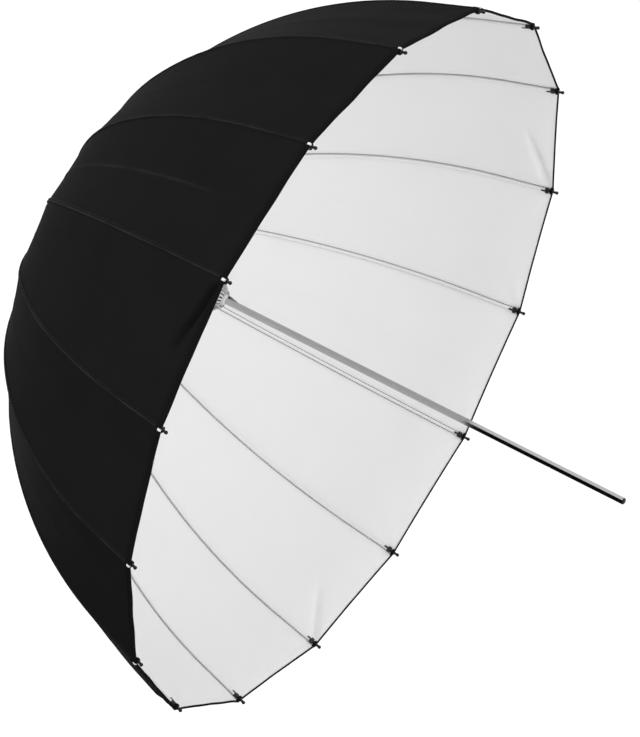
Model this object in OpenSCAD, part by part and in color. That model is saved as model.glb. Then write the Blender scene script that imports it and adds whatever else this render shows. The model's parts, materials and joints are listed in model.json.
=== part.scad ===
// Deep umbrella reflector: a bowl of fabric on curved ribs, opened by a runner that slides
// on the shaft, and held by the shaft's free end.
// X runs along the shaft and out of the opening, Z is up. The origin is on the shaft's axis,
// where a clamp grips it.

/* [Bowl] */
// Diameter across the rib tips, at the hem
opening_d = 850; // [700:10:1020]
// Depth from the hem plane back to the rib pivots
bowl_depth = 368; // [308:2:442]
// Number of ribs
rib_count = 16; // [12:2:16]
// Rib's slope to the shaft at the crown, degrees
crown_angle = 88; // [84:1:89]
// Rib's slope to the shaft where its two arcs meet, degrees
shoulder_angle = 50; // [46:1:54]
// Rib's slope to the shaft at the hem, degrees
hem_angle = 17; // [15:1:19]
// Straight length of a rib at the crown
root_straight = 40; // [38:1:50]
// Straight length of a rib at the hem
tip_straight = 60; // [30:1:70]
// Thickness of the fabric
fabric_t = 0.8; // [0.6:0.1:1.2]
// Radius at which the fabric starts beyond a rib's pivot
fabric_start = 10; // [9:1:14]

/* [Shaft] */
// Outside diameter of the shaft
shaft_d = 8; // [6.5:0.5:10]
// Wall of the shaft's tube
shaft_wall = 0.8; // [0.6:0.1:1]
// Length of shaft in front of the hem plane
shaft_out = 345; // [320:5:420]
// Distance from the hem plane to the clamp's middle
clamp_reach = 300; // [260:5:310]
// Length of the stiffening plug in the free end
plug_l = 92; // [76:2:110]
// Width of the rolled groove that holds the plug
groove_w = 1.8; // [1.4:0.1:2.4]
// Depth of the rolled groove
groove_depth = 0.3; // [0.2:0.05:0.4]

/* [Ribs] */
// Diameter of a rib's rod
rod_d = 3.5; // [3:0.1:4.2]
// Wall of the sleeves moulded on a rod
sleeve_wall = 0.55; // [0.4:0.05:0.7]
// Length of the eye fitting's sleeve
root_sleeve_l = 24; // [16:1:26]
// Length of the strut clip's sleeve
clip_l = 14; // [10:1:18]
// Length of a tip's sleeve
tip_l = 14; // [12:1:18]
// Radius of the ball on a tip
tip_ball_r = 2.1; // [1.8:0.1:2.6]
// Distance from the hem to the middle of a tip's ball
tip_reach = 5; // [4:0.5:6]
// Reach of a tip's sewing ear past its sleeve
tip_ear = 1.2; // [1.1:0.1:1.8]

/* [Crown] */
// Radius of the rib pivot circle
crown_pivot_r = 17; // [16:0.5:22]
// Thickness of a rib's eye
rib_eye_t = 2; // [1.6:0.1:2.2]
// Radius of a rib's eye
rib_eye_r = 3.2; // [2.8:0.1:3.6]
// Diameter of the wire that the ribs hinge on
crown_wire_d = 1.6; // [1.4:0.1:2]
// Length of the crown's boss in front of the pivots
crown_boss_l = 16; // [13:1:22]
// Radius of the crown's boss
crown_boss_r = 8; // [7:0.5:9]
// Diameter of the pin through the crown and the shaft
crown_pin_d = 2; // [1.6:0.1:2.4]
// Radius of the fabric rosette behind the crown
rosette_r = 34; // [30:1:40]
// Radius of the cap behind the rosette
cap_r = 14; // [11:0.5:18]
// Height of the cap
cap_h = 11; // [10:0.5:16]

/* [Runner and struts] */
// Distance from the rib pivots to the strut pivots when open
runner_open = 188; // [170:1:205]
// Radius of the strut pivot circle
runner_pivot_r = 9; // [8.5:0.5:14]
// Distance along a rib from its pivot to the strut clip
clip_reach = 150; // [130:1:170]
// Distance from a rod's middle to the strut's pivot
clip_drop = 9; // [8:0.5:11]
// Diameter of a strut's rod
strut_d = 2.8; // [2.4:0.1:3.2]
// Thickness of a strut's eye
strut_eye_t = 1.3; // [1:0.1:1.5]
// Radius of a strut's eye
strut_eye_r = 2.2; // [2:0.1:2.4]
// Diameter of the wire that the struts hinge on
runner_wire_d = 1.2; // [1:0.1:1.4]
// Length of the runner's sleeve behind the strut pivots
runner_sleeve_l = 30; // [22:1:40]
// Length of the runner's nose in front of the strut pivots
runner_nose_l = 5; // [4:0.5:8]
// Wall of the runner's sleeve
runner_wall = 2; // [1.6:0.1:2.4]
// Thickness of the lug on a strut clip
lug_t = 3; // [2.4:0.1:3.4]
// Thickness of a fork's tine
tine_t = 1.4; // [1.2:0.1:1.8]
// Length of a fork's tines
tine_l = 10; // [9:0.5:13]
// Radius at which the rib tips lie when folded
folded_tip_r = 25; // [23:1:40]

/* [Catch] */
// Height of the catch above the shaft
catch_rise = 2.2; // [1.6:0.1:2.3]
// Length of the catch
catch_l = 14; // [11:1:18]
// Width of the catch
catch_w = 1.6; // [1.4:0.1:1.8]

/* [Clearances] */
// Radial play of a hinge wire in an eye
hinge_fit = 0.08; // [0.06:0.01:0.1]
// Radial play of the runner on the shaft
slide_fit = 0.06; // [0.03:0.01:0.1]
// Radial room of a piece that is pressed or crimped on
seat_fit = 0.03; // [0.02:0.01:0.05]
// Room beside a plate that turns in a slot or fork
side_gap = 0.3; // [0.2:0.05:0.4]
// Room between the fabric and what lies beside it
fabric_gap = 0.3; // [0.3:0.1:0.5]

/* [Hidden] */
$fn = 48;
function tag(base, k) = str(base, "_", k < 10 ? "0" : "", k);
ribs = [1 : rib_count];

// Places along the shaft
hem_x = -clamp_reach;
crown_x = hem_x - bowl_depth;
runner_x = crown_x + runner_open;
runner_front_x = runner_x + runner_nose_l;
shaft_end_x = hem_x + shaft_out;
groove_x = shaft_end_x - plug_l;

// Ribs stand half a pitch either side of straight up
pitch = 360 / rib_count;
half_pitch = pitch / 2;
function rib_turn(k) = half_pitch + pitch * (k - 1);

// Radii that fit together
rod_r = rod_d / 2;
shaft_r = shaft_d / 2;
shaft_bore_r = shaft_r - shaft_wall;
sleeve_r = rod_r + sleeve_wall;
fabric_drop = sleeve_r + fabric_gap;
crown_wire_r = crown_wire_d / 2;
runner_wire_r = runner_wire_d / 2;
eye_gap = 0.4;
edge = 0.6;
hub_rim = 0.8;
crown_r = crown_pivot_r + rib_eye_r + hub_rim;
runner_r = runner_pivot_r + strut_eye_r;
crown_slot_w = rib_eye_t + 2 * side_gap;
runner_slot_w = strut_eye_t + 2 * side_gap;
fork_gap = lug_t + 2 * side_gap;

// How far a cut runs past what it cuts
cut_past = 1;

// Two arcs, tangent to each other and to the straight ends, span the bowl's depth and radius
rise_x = bowl_depth - root_straight * cos(crown_angle) - tip_straight * cos(hem_angle);
rise_r = opening_d / 2 - crown_pivot_r
    - root_straight * sin(crown_angle) - tip_straight * sin(hem_angle);
crown_dx = sin(crown_angle) - sin(shoulder_angle);
crown_dr = cos(shoulder_angle) - cos(crown_angle);
bowl_dx = sin(shoulder_angle) - sin(hem_angle);
bowl_dr = cos(hem_angle) - cos(shoulder_angle);
arc_det = crown_dx * bowl_dr - bowl_dx * crown_dr;
crown_arc_r = (rise_x * bowl_dr - bowl_dx * rise_r) / arc_det;
bowl_arc_r = (crown_dx * rise_r - crown_dr * rise_x) / arc_det;
crown_arc_l = crown_arc_r * (crown_angle - shoulder_angle) * PI / 180;
bowl_arc_l = bowl_arc_r * (shoulder_angle - hem_angle) * PI / 180;
shoulder_s = root_straight + crown_arc_l;
tip_s = shoulder_s + bowl_arc_l;
rib_l = tip_s + tip_straight;

// Directions in a rib's plane, where the first coordinate is along the shaft
function along(a) = [cos(a), sin(a)];
function outward(a) = [-sin(a), cos(a)];
crown_pivot = [crown_x, crown_pivot_r];
root_end = crown_pivot + root_straight * along(crown_angle);
crown_arc_mid = root_end - crown_arc_r * outward(crown_angle);
shoulder = crown_arc_mid + crown_arc_r * outward(shoulder_angle);
bowl_arc_mid = shoulder - bowl_arc_r * outward(shoulder_angle);
tip_start = bowl_arc_mid + bowl_arc_r * outward(hem_angle);

// Slope and place of a rib at a distance s from its pivot
function rib_angle(s) =
    s < root_straight ? crown_angle
    : s < shoulder_s ? crown_angle - (s - root_straight) / crown_arc_r * 180 / PI
    : s < tip_s ? shoulder_angle - (s - shoulder_s) / bowl_arc_r * 180 / PI
    : hem_angle;
function rib_point(s) =
    s < root_straight ? crown_pivot + s * along(crown_angle)
    : s < shoulder_s ? crown_arc_mid + crown_arc_r * outward(rib_angle(s))
    : s < tip_s ? bowl_arc_mid + bowl_arc_r * outward(rib_angle(s))
    : tip_start + (s - tip_s) * along(hem_angle);

// Open and folded places of the strut's two pivots
strut_top = rib_point(clip_reach) - clip_drop * outward(rib_angle(clip_reach));
runner_pivot = [runner_x, runner_pivot_r];
strut_span = strut_top - runner_pivot;
strut_l = norm(strut_span);
strut_angle = atan2(strut_span[1], strut_span[0]);
crank = strut_top - crown_pivot;
crank_l = norm(crank);
tip_chord = [bowl_depth, opening_d / 2 - crown_pivot_r];
fold = atan2(tip_chord[1], tip_chord[0]) - asin((folded_tip_r - crown_pivot_r) / norm(tip_chord));
folded_top = crown_pivot + crank_l * along(atan2(crank[1], crank[0]) - fold);
folded_strut_angle = 180 - asin((folded_top[1] - runner_pivot_r) / strut_l);
strut_swing = folded_strut_angle - strut_angle;
runner_travel = folded_top[0] - strut_l * cos(folded_strut_angle) - runner_x;
echo(fold=fold, strut_swing=strut_swing, runner_travel=runner_travel, strut_l=strut_l, rib_l=rib_l);

// Draws children along the shaft from x
module along_x(x) {
    translate([x, 0, 0]) rotate([0, 90, 0]) children();
}

// Turns a rib's plane, drawn in X and Y, to the place of rib k
module in_rib_plane(k) {
    rotate([rib_turn(k), 0, 0]) rotate([90, 0, 0]) children();
}

// Moves children to a point in a rib's plane, with X along the given slope
module at_point(p, angle) {
    translate([p[0], p[1], 0]) rotate([0, 0, angle]) children();
}

// A round bar along X
module bar(d, l) {
    rotate([0, 90, 0]) cylinder(d = d, h = l);
}

// A slice of a ring of round bar: one arc of a rib
module arc_bar(mid, r, low_angle, high_angle, d) {
    translate([mid[0], mid[1], 0]) rotate([0, 0, low_angle + 90])
        rotate_extrude(angle = high_angle - low_angle) translate([r, 0]) circle(d = d);
}

// A hair-thin band where two stretches of a bar meet, so that the bar is one piece
module bar_joint(p, angle, d) {
    band_l = 1;
    band_rise = 0.1;
    at_point(p, angle) translate([-band_l / 2, 0, 0]) bar(d + band_rise, band_l);
}

// The rib's whole curve as a bar, from start to end along it
module rib_bar(d, start, end) {
    union() {
        at_point(rib_point(start), crown_angle) bar(d, root_straight - start);
        bar_joint(root_end, crown_angle, d);
        arc_bar(crown_arc_mid, crown_arc_r, shoulder_angle, crown_angle, d);
        bar_joint(shoulder, shoulder_angle, d);
        arc_bar(bowl_arc_mid, bowl_arc_r, hem_angle, shoulder_angle, d);
        bar_joint(tip_start, hem_angle, d);
        at_point(tip_start, hem_angle) bar(d, end - tip_s);
    }
}

// Slots for the eyes of all ribs or struts, between two distances from x
module eye_slots(x, back, front, floor_r, outer_r, w) {
    for (k = ribs) in_rib_plane(k)
        translate([x - back, floor_r, -w / 2]) cube([back + front, outer_r, w]);
}

// A flat eye with a tang, for a hinge wire
module eye(r, t, hole_r, tang_l, tang_w) {
    linear_extrude(t, center = true) difference() {
        union() {
            circle(r);
            translate([0, -tang_w / 2]) square([tang_l, tang_w]);
        }
        circle(hole_r);
    }
}

// A dome on a rim, from z upwards
module dome(z, r, rim_h, h) {
    ball_r = (pow(r, 2) + pow(h - rim_h, 2)) / (2 * (h - rim_h));
    translate([0, 0, z]) intersection() {
        cylinder(r = r, h = h);
        translate([0, 0, h - ball_r]) sphere(ball_r);
    }
}

// A ring of wire round the shaft
module wire_ring(x, ring_r, wire_r) {
    along_x(x) rotate_extrude() translate([ring_r, 0]) circle(wire_r);
}

// Shaft, its plug and the catch in it
cap_roof = 3;
shaft_back = cap_h - cap_roof;
crown_back = 6;
pin_inset = 4;
pin_x = crown_x + crown_boss_l - pin_inset;
shaft_start_x = crown_x - crown_back - shaft_back;
catch_gap = 0.3;
catch_x = runner_front_x + catch_gap;
catch_slot_w = catch_w + side_gap;
catch_foot_w = 2.8;
catch_foot_h = 1.6;
catch_base = 0.3;

module shaft() {
    color("silver") difference() {
        along_x(shaft_start_x) difference() {
            cylinder(r = shaft_r, h = shaft_end_x - shaft_start_x);
            translate([0, 0, -cut_past])
                cylinder(r = shaft_bore_r, h = shaft_end_x - shaft_start_x + 2 * cut_past);
        }
        along_x(groove_x) difference() {
            cylinder(r = shaft_r + cut_past, h = groove_w);
            translate([0, 0, -cut_past])
                cylinder(r = shaft_r - groove_depth, h = groove_w + 2 * cut_past);
        }
        translate([catch_x - side_gap, -catch_slot_w / 2, 0])
            cube([catch_l + 2 * side_gap, catch_slot_w, shaft_d]);
        along_x(pin_x) rotate([90, 0, 0])
            cylinder(d = crown_pin_d + 2 * seat_fit, h = shaft_d + 2 * cut_past, center = true);
    }
}

// A long plug stiffens the end under the clamp, and its domed head closes the tube
module shaft_plug() {
    head_inset = 0.3;
    head_rim = 1.2;
    head_h = 2.8;
    color("black") along_x(groove_x) union() {
        cylinder(r = shaft_bore_r - seat_fit, h = plug_l);
        dome(plug_l, shaft_r - head_inset, head_rim, head_h);
    }
}

// A wedge stands in front of the open runner: blunt towards it, sloping the other way
module catch() {
    top = shaft_r + catch_rise;
    top_l = 3.2;
    tail_sunk = 0.2;
    color("dimgray") translate([catch_x, 0, 0]) union() {
        rotate([90, 0, 0]) linear_extrude(catch_w, center = true)
            polygon([[0, catch_base], [catch_l, catch_base], [catch_l, shaft_r - tail_sunk],
                     [top_l, top], [0, top]]);
        translate([0, -catch_foot_w / 2, catch_base]) cube([catch_l, catch_foot_w, catch_foot_h]);
    }
}

// A bowed leaf in the tube pushes the catch out
module catch_spring() {
    leaf_t = 0.4;
    leaf_w = 2.2;
    leaf_gap = 0.15;
    leaf_past = 5;
    leaf_l = catch_l + 2 * leaf_past;
    bow_h = sqrt(pow(shaft_bore_r, 2) - pow(leaf_w / 2, 2)) + catch_base - 4 * leaf_gap;
    bow_r = (pow(leaf_l / 2, 2) + pow(bow_h, 2)) / (2 * bow_h);
    color("silver") translate([catch_x + catch_l / 2, 0, catch_base - leaf_gap])
        rotate([90, 0, 0]) linear_extrude(leaf_w, center = true) intersection() {
            translate([0, -bow_r]) difference() {
                circle(bow_r);
                circle(bow_r - leaf_t);
            }
            translate([-leaf_l / 2, -bow_h]) square([leaf_l, bow_h]);
        }
}

// Crown: a slotted hub that carries the ribs on a ring of wire
crown_front = 5;

module crown() {
    color("gray") difference() {
        along_x(crown_x) rotate_extrude() polygon([
            [shaft_r + seat_fit, -crown_back], [crown_r - edge, -crown_back],
            [crown_r, edge - crown_back], [crown_r, crown_front - edge],
            [crown_r - edge, crown_front], [crown_boss_r, crown_front],
            [crown_boss_r, crown_boss_l - edge], [crown_boss_r - edge, crown_boss_l],
            [shaft_r + seat_fit, crown_boss_l]]);
        eye_slots(crown_x, rib_eye_r + eye_gap, crown_front + cut_past,
                  crown_pivot_r - rib_eye_r - eye_gap, crown_r, crown_slot_w);
        wire_ring(crown_x, crown_pivot_r, crown_wire_r + seat_fit);
        along_x(pin_x) rotate([90, 0, 0])
            cylinder(d = crown_pin_d + 2 * seat_fit, h = crown_r * 2, center = true);
    }
}

module crown_wire() {
    color("silver") wire_ring(crown_x, crown_pivot_r, crown_wire_r);
}

module crown_pin() {
    color("silver") along_x(pin_x) rotate([90, 0, 0])
        cylinder(d = crown_pin_d, h = 2 * crown_boss_r, center = true);
}

// Rosette and cap close the fabric's centre behind the crown
module rosette() {
    color("black") along_x(crown_x - crown_back - fabric_t) difference() {
        cylinder(r = rosette_r, h = fabric_t);
        translate([0, 0, -cut_past]) cylinder(r = shaft_r + fabric_gap, h = fabric_t + 2 * cut_past);
    }
}

module end_cap() {
    rim_h = 2.5;
    color("black") along_x(crown_x - crown_back - fabric_t) difference() {
        mirror([0, 0, 1]) dome(0, cap_r, rim_h, cap_h);
        translate([0, 0, -shaft_back]) cylinder(r = shaft_r + seat_fit, h = shaft_back + cut_past);
    }
}

// Runner: a sleeve that slides on the shaft, with a notched flange for the struts, a round nose
// and a skirt to pull it by
module runner() {
    bore_r = shaft_r + slide_fit;
    sleeve_out_r = bore_r + runner_wall;
    wire_cover = 1.2;
    flange = runner_wire_r + wire_cover;
    eye_room = max(flange, strut_eye_r) + eye_gap;
    skirt_rise = 1.4;
    skirt_l = 6;
    skirt_slope = 3;
    nose_steps = 4;
    color("whitesmoke") difference() {
        along_x(runner_x) rotate_extrude() polygon(concat(
            [[bore_r, -runner_sleeve_l], [sleeve_out_r + skirt_rise - edge, -runner_sleeve_l],
             [sleeve_out_r + skirt_rise, edge - runner_sleeve_l],
             [sleeve_out_r + skirt_rise, skirt_l - runner_sleeve_l],
             [sleeve_out_r, skirt_l + skirt_slope - runner_sleeve_l],
             [sleeve_out_r, -flange], [runner_r - edge, -flange], [runner_r, edge - flange],
             [runner_r, flange - edge], [runner_r - edge, flange]],
            [for (i = [0 : nose_steps]) let (a = 90 * i / nose_steps)
                [bore_r + edge + (runner_wall - edge) * cos(a),
                 flange + (runner_nose_l - flange) * sin(a)]],
            [[bore_r, runner_nose_l]]));
        eye_slots(runner_x, eye_room, eye_room,
                  runner_pivot_r - strut_eye_r - eye_gap, runner_r, runner_slot_w);
        wire_ring(runner_x, runner_pivot_r, runner_wire_r + seat_fit);
    }
}

module runner_wire() {
    color("silver") wire_ring(runner_x, runner_pivot_r, runner_wire_r);
}

// A rib: a rod with its eye fitting, the strut's clip and the tip moulded on it
root_sleeve_s = 9;
rod_s = root_sleeve_s + 1;

module rib_eye() {
    at_point(crown_pivot, crown_angle) union() {
        eye(rib_eye_r, rib_eye_t, crown_wire_r + hinge_fit, rod_s, 2 * sleeve_r);
        translate([root_sleeve_s, 0, 0]) bar(2 * sleeve_r, root_sleeve_l);
    }
}

module strut_clip() {
    lug_r = 2.8;
    rivet_hole_r = 1.1;
    at_point(rib_point(clip_reach), rib_angle(clip_reach)) difference() {
        union() {
            translate([-clip_l / 2, 0, 0]) bar(2 * sleeve_r, clip_l);
            linear_extrude(lug_t, center = true) union() {
                translate([0, -clip_drop]) circle(lug_r);
                translate([-lug_r, -clip_drop]) square([2 * lug_r, clip_drop]);
            }
        }
        translate([0, -clip_drop, 0]) cylinder(r = rivet_hole_r, h = lug_t + 2 * cut_past, center = true);
    }
}

// The tip's ears are sewn to the fabric, and its neck and ball stand past the hem
module rib_tip() {
    ear_l = 4;
    ear_t = 2.4;
    thread_hole_r = 0.45;
    neck_r = tip_ball_r - edge;
    ear_z = sleeve_r + tip_ear;
    at_point(rib_point(rib_l), hem_angle) difference() {
        union() {
            translate([-tip_l, 0, 0]) bar(2 * sleeve_r, tip_l + edge);
            bar(2 * neck_r, tip_reach);
            translate([tip_reach, 0, 0]) sphere(tip_ball_r);
            translate([-tip_l / 2 - ear_l / 2, -ear_t + rod_r / 2, -ear_z])
                cube([ear_l, ear_t, 2 * ear_z]);
        }
        for (side = [-1, 1])
            translate([-tip_l / 2, 0, side * (sleeve_r + tip_ear / 2)]) rotate([90, 0, 0])
                cylinder(r = thread_hole_r, h = 4 * ear_t, center = true);
    }
}

module rib(k) {
    color("white") in_rib_plane(k) union() {
        rib_bar(rod_d, rod_s, rib_l);
        rib_eye();
        strut_clip();
        rib_tip();
    }
}

// A strut: an eye on the runner's wire, a round bar and a fork that straddles the clip's lug
module strut(k) {
    tang_l = 9;
    tang_in = 3;
    tine_in = 1;
    fork_h = 5;
    bridge_l = 5;
    rivet_r = 1.9;
    rivet_h = 0.9;
    tine_mid = fork_gap / 2 + tine_t / 2;
    color("silver") in_rib_plane(k) at_point(runner_pivot, strut_angle) union() {
        eye(strut_eye_r, strut_eye_t, runner_wire_r + hinge_fit, tang_l + tang_in, strut_d);
        translate([tang_l, 0, 0]) bar(strut_d, strut_l - tine_l - bridge_l / 2 - tang_l);
        translate([strut_l - tine_l - bridge_l, -fork_h / 2, -fork_gap / 2 - tine_t])
            cube([bridge_l, fork_h, fork_gap + 2 * tine_t]);
        for (side = [-1, 1]) translate([strut_l, 0, side * tine_mid]) {
            linear_extrude(tine_t, center = true) union() {
                circle(d = fork_h);
                translate([-tine_l - tine_in, -fork_h / 2]) square([tine_l + tine_in, fork_h]);
            }
            translate([0, 0, side * (tine_t + rivet_h) / 2])
                cylinder(r = rivet_r, h = rivet_h, center = true);
        }
    }
}

// One rib's share of the fabric, from mid-gore to mid-gore, stretched flat between the ribs
canopy_steps = 36;

canopy_rows = [for (i = [0 : canopy_steps])
    let (s = fabric_start + (rib_l - fabric_start) * i / canopy_steps,
         a = rib_angle(s),
         inner = rib_point(s) + fabric_drop * outward(a),
         outer = inner + fabric_t * outward(a),
         w = (inner[1] * sin(half_pitch) - fabric_gap / 2) * cos(half_pitch),
         sag = w * tan(half_pitch))
    [[inner[0], inner[1] - sag, -w], [inner[0], inner[1], 0], [inner[0], inner[1] - sag, w],
     [outer[0], outer[1] - sag, w], [outer[0], outer[1], 0], [outer[0], outer[1] - sag, -w]]];

module canopy(k) {
    n = len(canopy_rows[0]);
    points = [for (row = canopy_rows) each row];
    sides = [for (i = [0 : canopy_steps - 1]) for (j = [0 : n - 1])
        let (a = i * n + j, b = i * n + (j + 1) % n)
        each [[a, b, b + n], [a, b + n, a + n]]];
    last = canopy_steps * n;
    ends = [[0, 5, 4], [0, 4, 1], [1, 4, 3], [1, 3, 2]];
    caps = [for (f = ends) each [f, [last + f[0], last + f[2], last + f[1]]]];
    color("black") in_rib_plane(k) polyhedron(points, concat(sides, caps), convexity = 6);
}

shaft();
shaft_plug();
catch();
catch_spring();
crown();
crown_wire();
crown_pin();
rosette();
end_cap();
runner();
runner_wire();
for (k = ribs) {
    rib(k);
    strut(k);
    canopy(k);
}
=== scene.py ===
import json
import math
from functools import cache, partial

import bmesh
import bpy
import numpy as np
from bpy.props import FloatProperty, FloatVectorProperty, IntProperty, PointerProperty
from mathutils import Matrix, Vector

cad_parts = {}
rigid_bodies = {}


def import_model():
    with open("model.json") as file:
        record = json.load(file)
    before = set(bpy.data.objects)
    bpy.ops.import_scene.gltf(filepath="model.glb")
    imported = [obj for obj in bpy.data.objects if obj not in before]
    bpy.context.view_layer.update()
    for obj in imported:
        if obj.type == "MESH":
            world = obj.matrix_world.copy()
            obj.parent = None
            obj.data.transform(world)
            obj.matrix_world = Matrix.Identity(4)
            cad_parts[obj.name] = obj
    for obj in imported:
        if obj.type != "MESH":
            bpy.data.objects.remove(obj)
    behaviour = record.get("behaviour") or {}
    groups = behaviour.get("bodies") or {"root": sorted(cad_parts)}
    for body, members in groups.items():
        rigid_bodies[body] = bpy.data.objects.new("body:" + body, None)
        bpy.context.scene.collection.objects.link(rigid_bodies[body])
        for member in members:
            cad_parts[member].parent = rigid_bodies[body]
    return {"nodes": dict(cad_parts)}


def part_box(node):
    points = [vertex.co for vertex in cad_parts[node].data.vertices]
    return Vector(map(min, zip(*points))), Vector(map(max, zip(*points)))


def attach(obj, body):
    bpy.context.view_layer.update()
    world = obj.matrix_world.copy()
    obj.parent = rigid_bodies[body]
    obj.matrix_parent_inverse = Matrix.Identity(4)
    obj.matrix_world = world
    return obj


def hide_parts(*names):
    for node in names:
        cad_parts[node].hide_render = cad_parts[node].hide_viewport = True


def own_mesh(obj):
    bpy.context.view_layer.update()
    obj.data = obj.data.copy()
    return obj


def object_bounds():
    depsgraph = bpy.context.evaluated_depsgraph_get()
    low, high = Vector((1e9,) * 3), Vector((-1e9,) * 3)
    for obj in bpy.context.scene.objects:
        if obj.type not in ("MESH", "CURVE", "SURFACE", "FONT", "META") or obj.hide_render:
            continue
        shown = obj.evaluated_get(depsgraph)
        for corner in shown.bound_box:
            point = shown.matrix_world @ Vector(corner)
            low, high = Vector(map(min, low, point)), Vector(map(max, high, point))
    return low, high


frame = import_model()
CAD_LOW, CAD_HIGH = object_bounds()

bl_info = {
    "name": "Deep umbrella reflector",
    "version": (1, 0, 0),
    "blender": (4, 5, 0),
    "location": "View3D > Sidebar > Umbrella",
    "description": "Cloth, ribs and finishes of a deep studio umbrella on its packed frame",
    "category": "Object",
}

MM = 0.001
SEED = 41
RIB_NODES = sorted(name for name in frame["nodes"] if name.startswith("rib_"))


def wire_ring(node):
    """Where a ring of wire round the shaft lies along it, and the ring's radius."""
    low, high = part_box(node)
    return (low.x + high.x) / 2, (high.z - low.z - (high.x - low.x)) / 2


def linear(colour):
    """An sRGB hex colour as linear red, green, blue and alpha."""
    parts = [int(colour[i:i + 2], 16) / 255 for i in (1, 3, 5)]
    return [c / 12.92 if c <= 0.04045 else ((c + 0.055) / 1.055) ** 2.4 for c in parts] + [1.0]


CROWN_X, CROWN_PIVOT_R = wire_ring("crown_wire")
RUNNER_X, RUNNER_PIVOT_R = wire_ring("runner_wire")


def length(name, description, default):
    """A size in metres, for a group of properties."""
    return FloatProperty(name=name, description=description, default=default,
                         unit="LENGTH", precision=5)


def slope(name, description, degrees):
    """A rib's slope to the shaft, for a group of properties."""
    return FloatProperty(name=name, description=description, default=math.radians(degrees),
                         subtype="ANGLE")


def tint(name, description, colour):
    """A colour for a group of properties."""
    return FloatVectorProperty(name=name, description=description, default=linear(colour),
                               size=4, min=0, max=1, subtype="COLOR")


class UMBRELLA_PG_sizes(bpy.types.PropertyGroup):
    """Sizes of the bowl and of what is sewn and pressed on it."""

    rib_count: IntProperty(name="Ribs", description="Number of ribs round the bowl",
                           default=len(RIB_NODES), min=3)
    hem_x: length("Hem plane", "Where the rib tips lie along the shaft", -0.300)
    hem_r: length("Hem radius", "Radius of the circle of rib tips", 0.425)
    crown_angle: slope("Crown slope", "Rib's slope at the crown", 88)
    shoulder_angle: slope("Shoulder slope", "Rib's slope where its two arcs meet", 50)
    hem_angle: slope("Hem slope", "Rib's slope at the hem", 17)
    root_straight: length("Straight root", "Straight length of a rib at the crown", 0.040)
    tip_straight: length("Straight tip", "Straight length of a rib at the hem", 0.060)
    rod_r: length("Rod radius", "Radius of a rib's rod", 0.00175)
    rod_start: length("Rod start", "Distance from the rib's pivot to its rod", 0.010)
    cloth_drop: length("Cloth height", "From a rod's middle to the white face", 0.0026)
    cloth_t: length("Cloth thickness", "White lining and black cover together", 0.0008)
    cloth_start: length("Cloth start", "Distance from the rib's pivot to the cloth", 0.010)
    gore_sag: length("Gore sag", "How far a gore draws in between its ribs", 0.0009)
    hem_scallop: length("Hem scallop", "How far the hem curves back between the tips", 0.0008)
    seam_w: length("Seam width", "Width of the felled seam on the cover", 0.005)
    seam_rise: length("Seam height", "How far the felled seam stands out", 0.0010)
    seam_ditch: length("Seam ditch", "Depth of the ditch under the felled edge", 0.0005)
    binding_out: length("Binding outside", "Width of the hem's binding on the cover", 0.0075)
    binding_in: length("Binding inside", "Width of the hem's binding on the lining", 0.0013)
    binding_t: length("Binding thickness", "Thickness of the hem's binding", 0.00045)
    stitch_pitch: length("Stitch pitch", "Distance from stitch to stitch", 0.0034)
    stitch_l: length("Stitch length", "Length of the thread that shows in a stitch", 0.0026)
    # The thread beside the rods is thick and long-stitched, so that it also paints the shade along
    # them
    rod_stitch_l: length("Rod stitch", "Length of a stitch beside the rods", 0.0031)
    thread_r: length("Thread radius", "Radius of the sewing thread", 0.00022)
    rod_thread_r: length("Rod thread radius", "Radius of the thread beside the rods", 0.00040)
    rosette_r: length("Rosette radius", "Radius of the cloth rosette behind the crown", 0.034)
    clip_reach: length("Clip reach", "Distance along a rib to the strut's clip", 0.150)
    clip_drop: length("Clip drop", "From a rod's middle to the strut's rivet", 0.009)
    tip_reach: length("Tip reach", "From the hem to the middle of a tip's ball", 0.005)
    tip_ball_r: length("Tip ball", "Radius of a tip's ball", 0.0021)


class UMBRELLA_PG_colours(bpy.types.PropertyGroup):
    """Colours of the cloth, rods, metal and plastic."""

    lining: tint("Lining", "White cloth inside the bowl", "#F3F3F3")
    cover: tint("Cover", "Black cloth outside the bowl", "#191919")
    binding: tint("Binding", "Tape round the hem", "#141414")
    # Dark grey, so that the thread beside the rods also paints the shade along them
    thread: tint("Lining thread", "Thread beside the rods inside the bowl", "#484848")
    rod: tint("Rods", "Fibreglass of the ribs", "#F2F2F2")
    steel: tint("Steel", "Polished tube of the shaft", "#BCBCBC")
    wire: tint("Wire", "Spring steel of the hinge wires and the rib eyes", "#8C8D8F")
    plate: tint("Plate", "Zinc plate on the struts", "#C8C8C6")
    lacquer: tint("Lacquer", "Black lacquer on the clips, strut eyes and catch", "#17171A")
    dark_nylon: tint("Dark nylon", "Moulded tips, crown, cap and plug", "#121213")
    pale_nylon: tint("Pale nylon", "Moulded runner", "#E4E4E1")
    floor: tint("Floor", "Paper sweep under the object", "#F0F0F0")


def add(tree, kind, inputs=(), **settings):
    """Adds a node. inputs maps a socket's name or index to a value, or to the socket that it
    links from."""
    made = tree.nodes.new(kind)
    for key, value in settings.items():
        setattr(made, key, value)
    for key, value in dict(inputs).items():
        if isinstance(value, bpy.types.NodeSocket):
            tree.links.new(value, made.inputs[key])
        else:
            made.inputs[key].default_value = value
    return made


# Materials

WAVE_TURN = 2 * math.pi / 20  # a Wave texture's period at scale 1


def new_material(name):
    """An empty node material and its tree."""
    material = bpy.data.materials.new(name)
    material.use_nodes = True
    material.node_tree.nodes.clear()
    return material, material.node_tree


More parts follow.
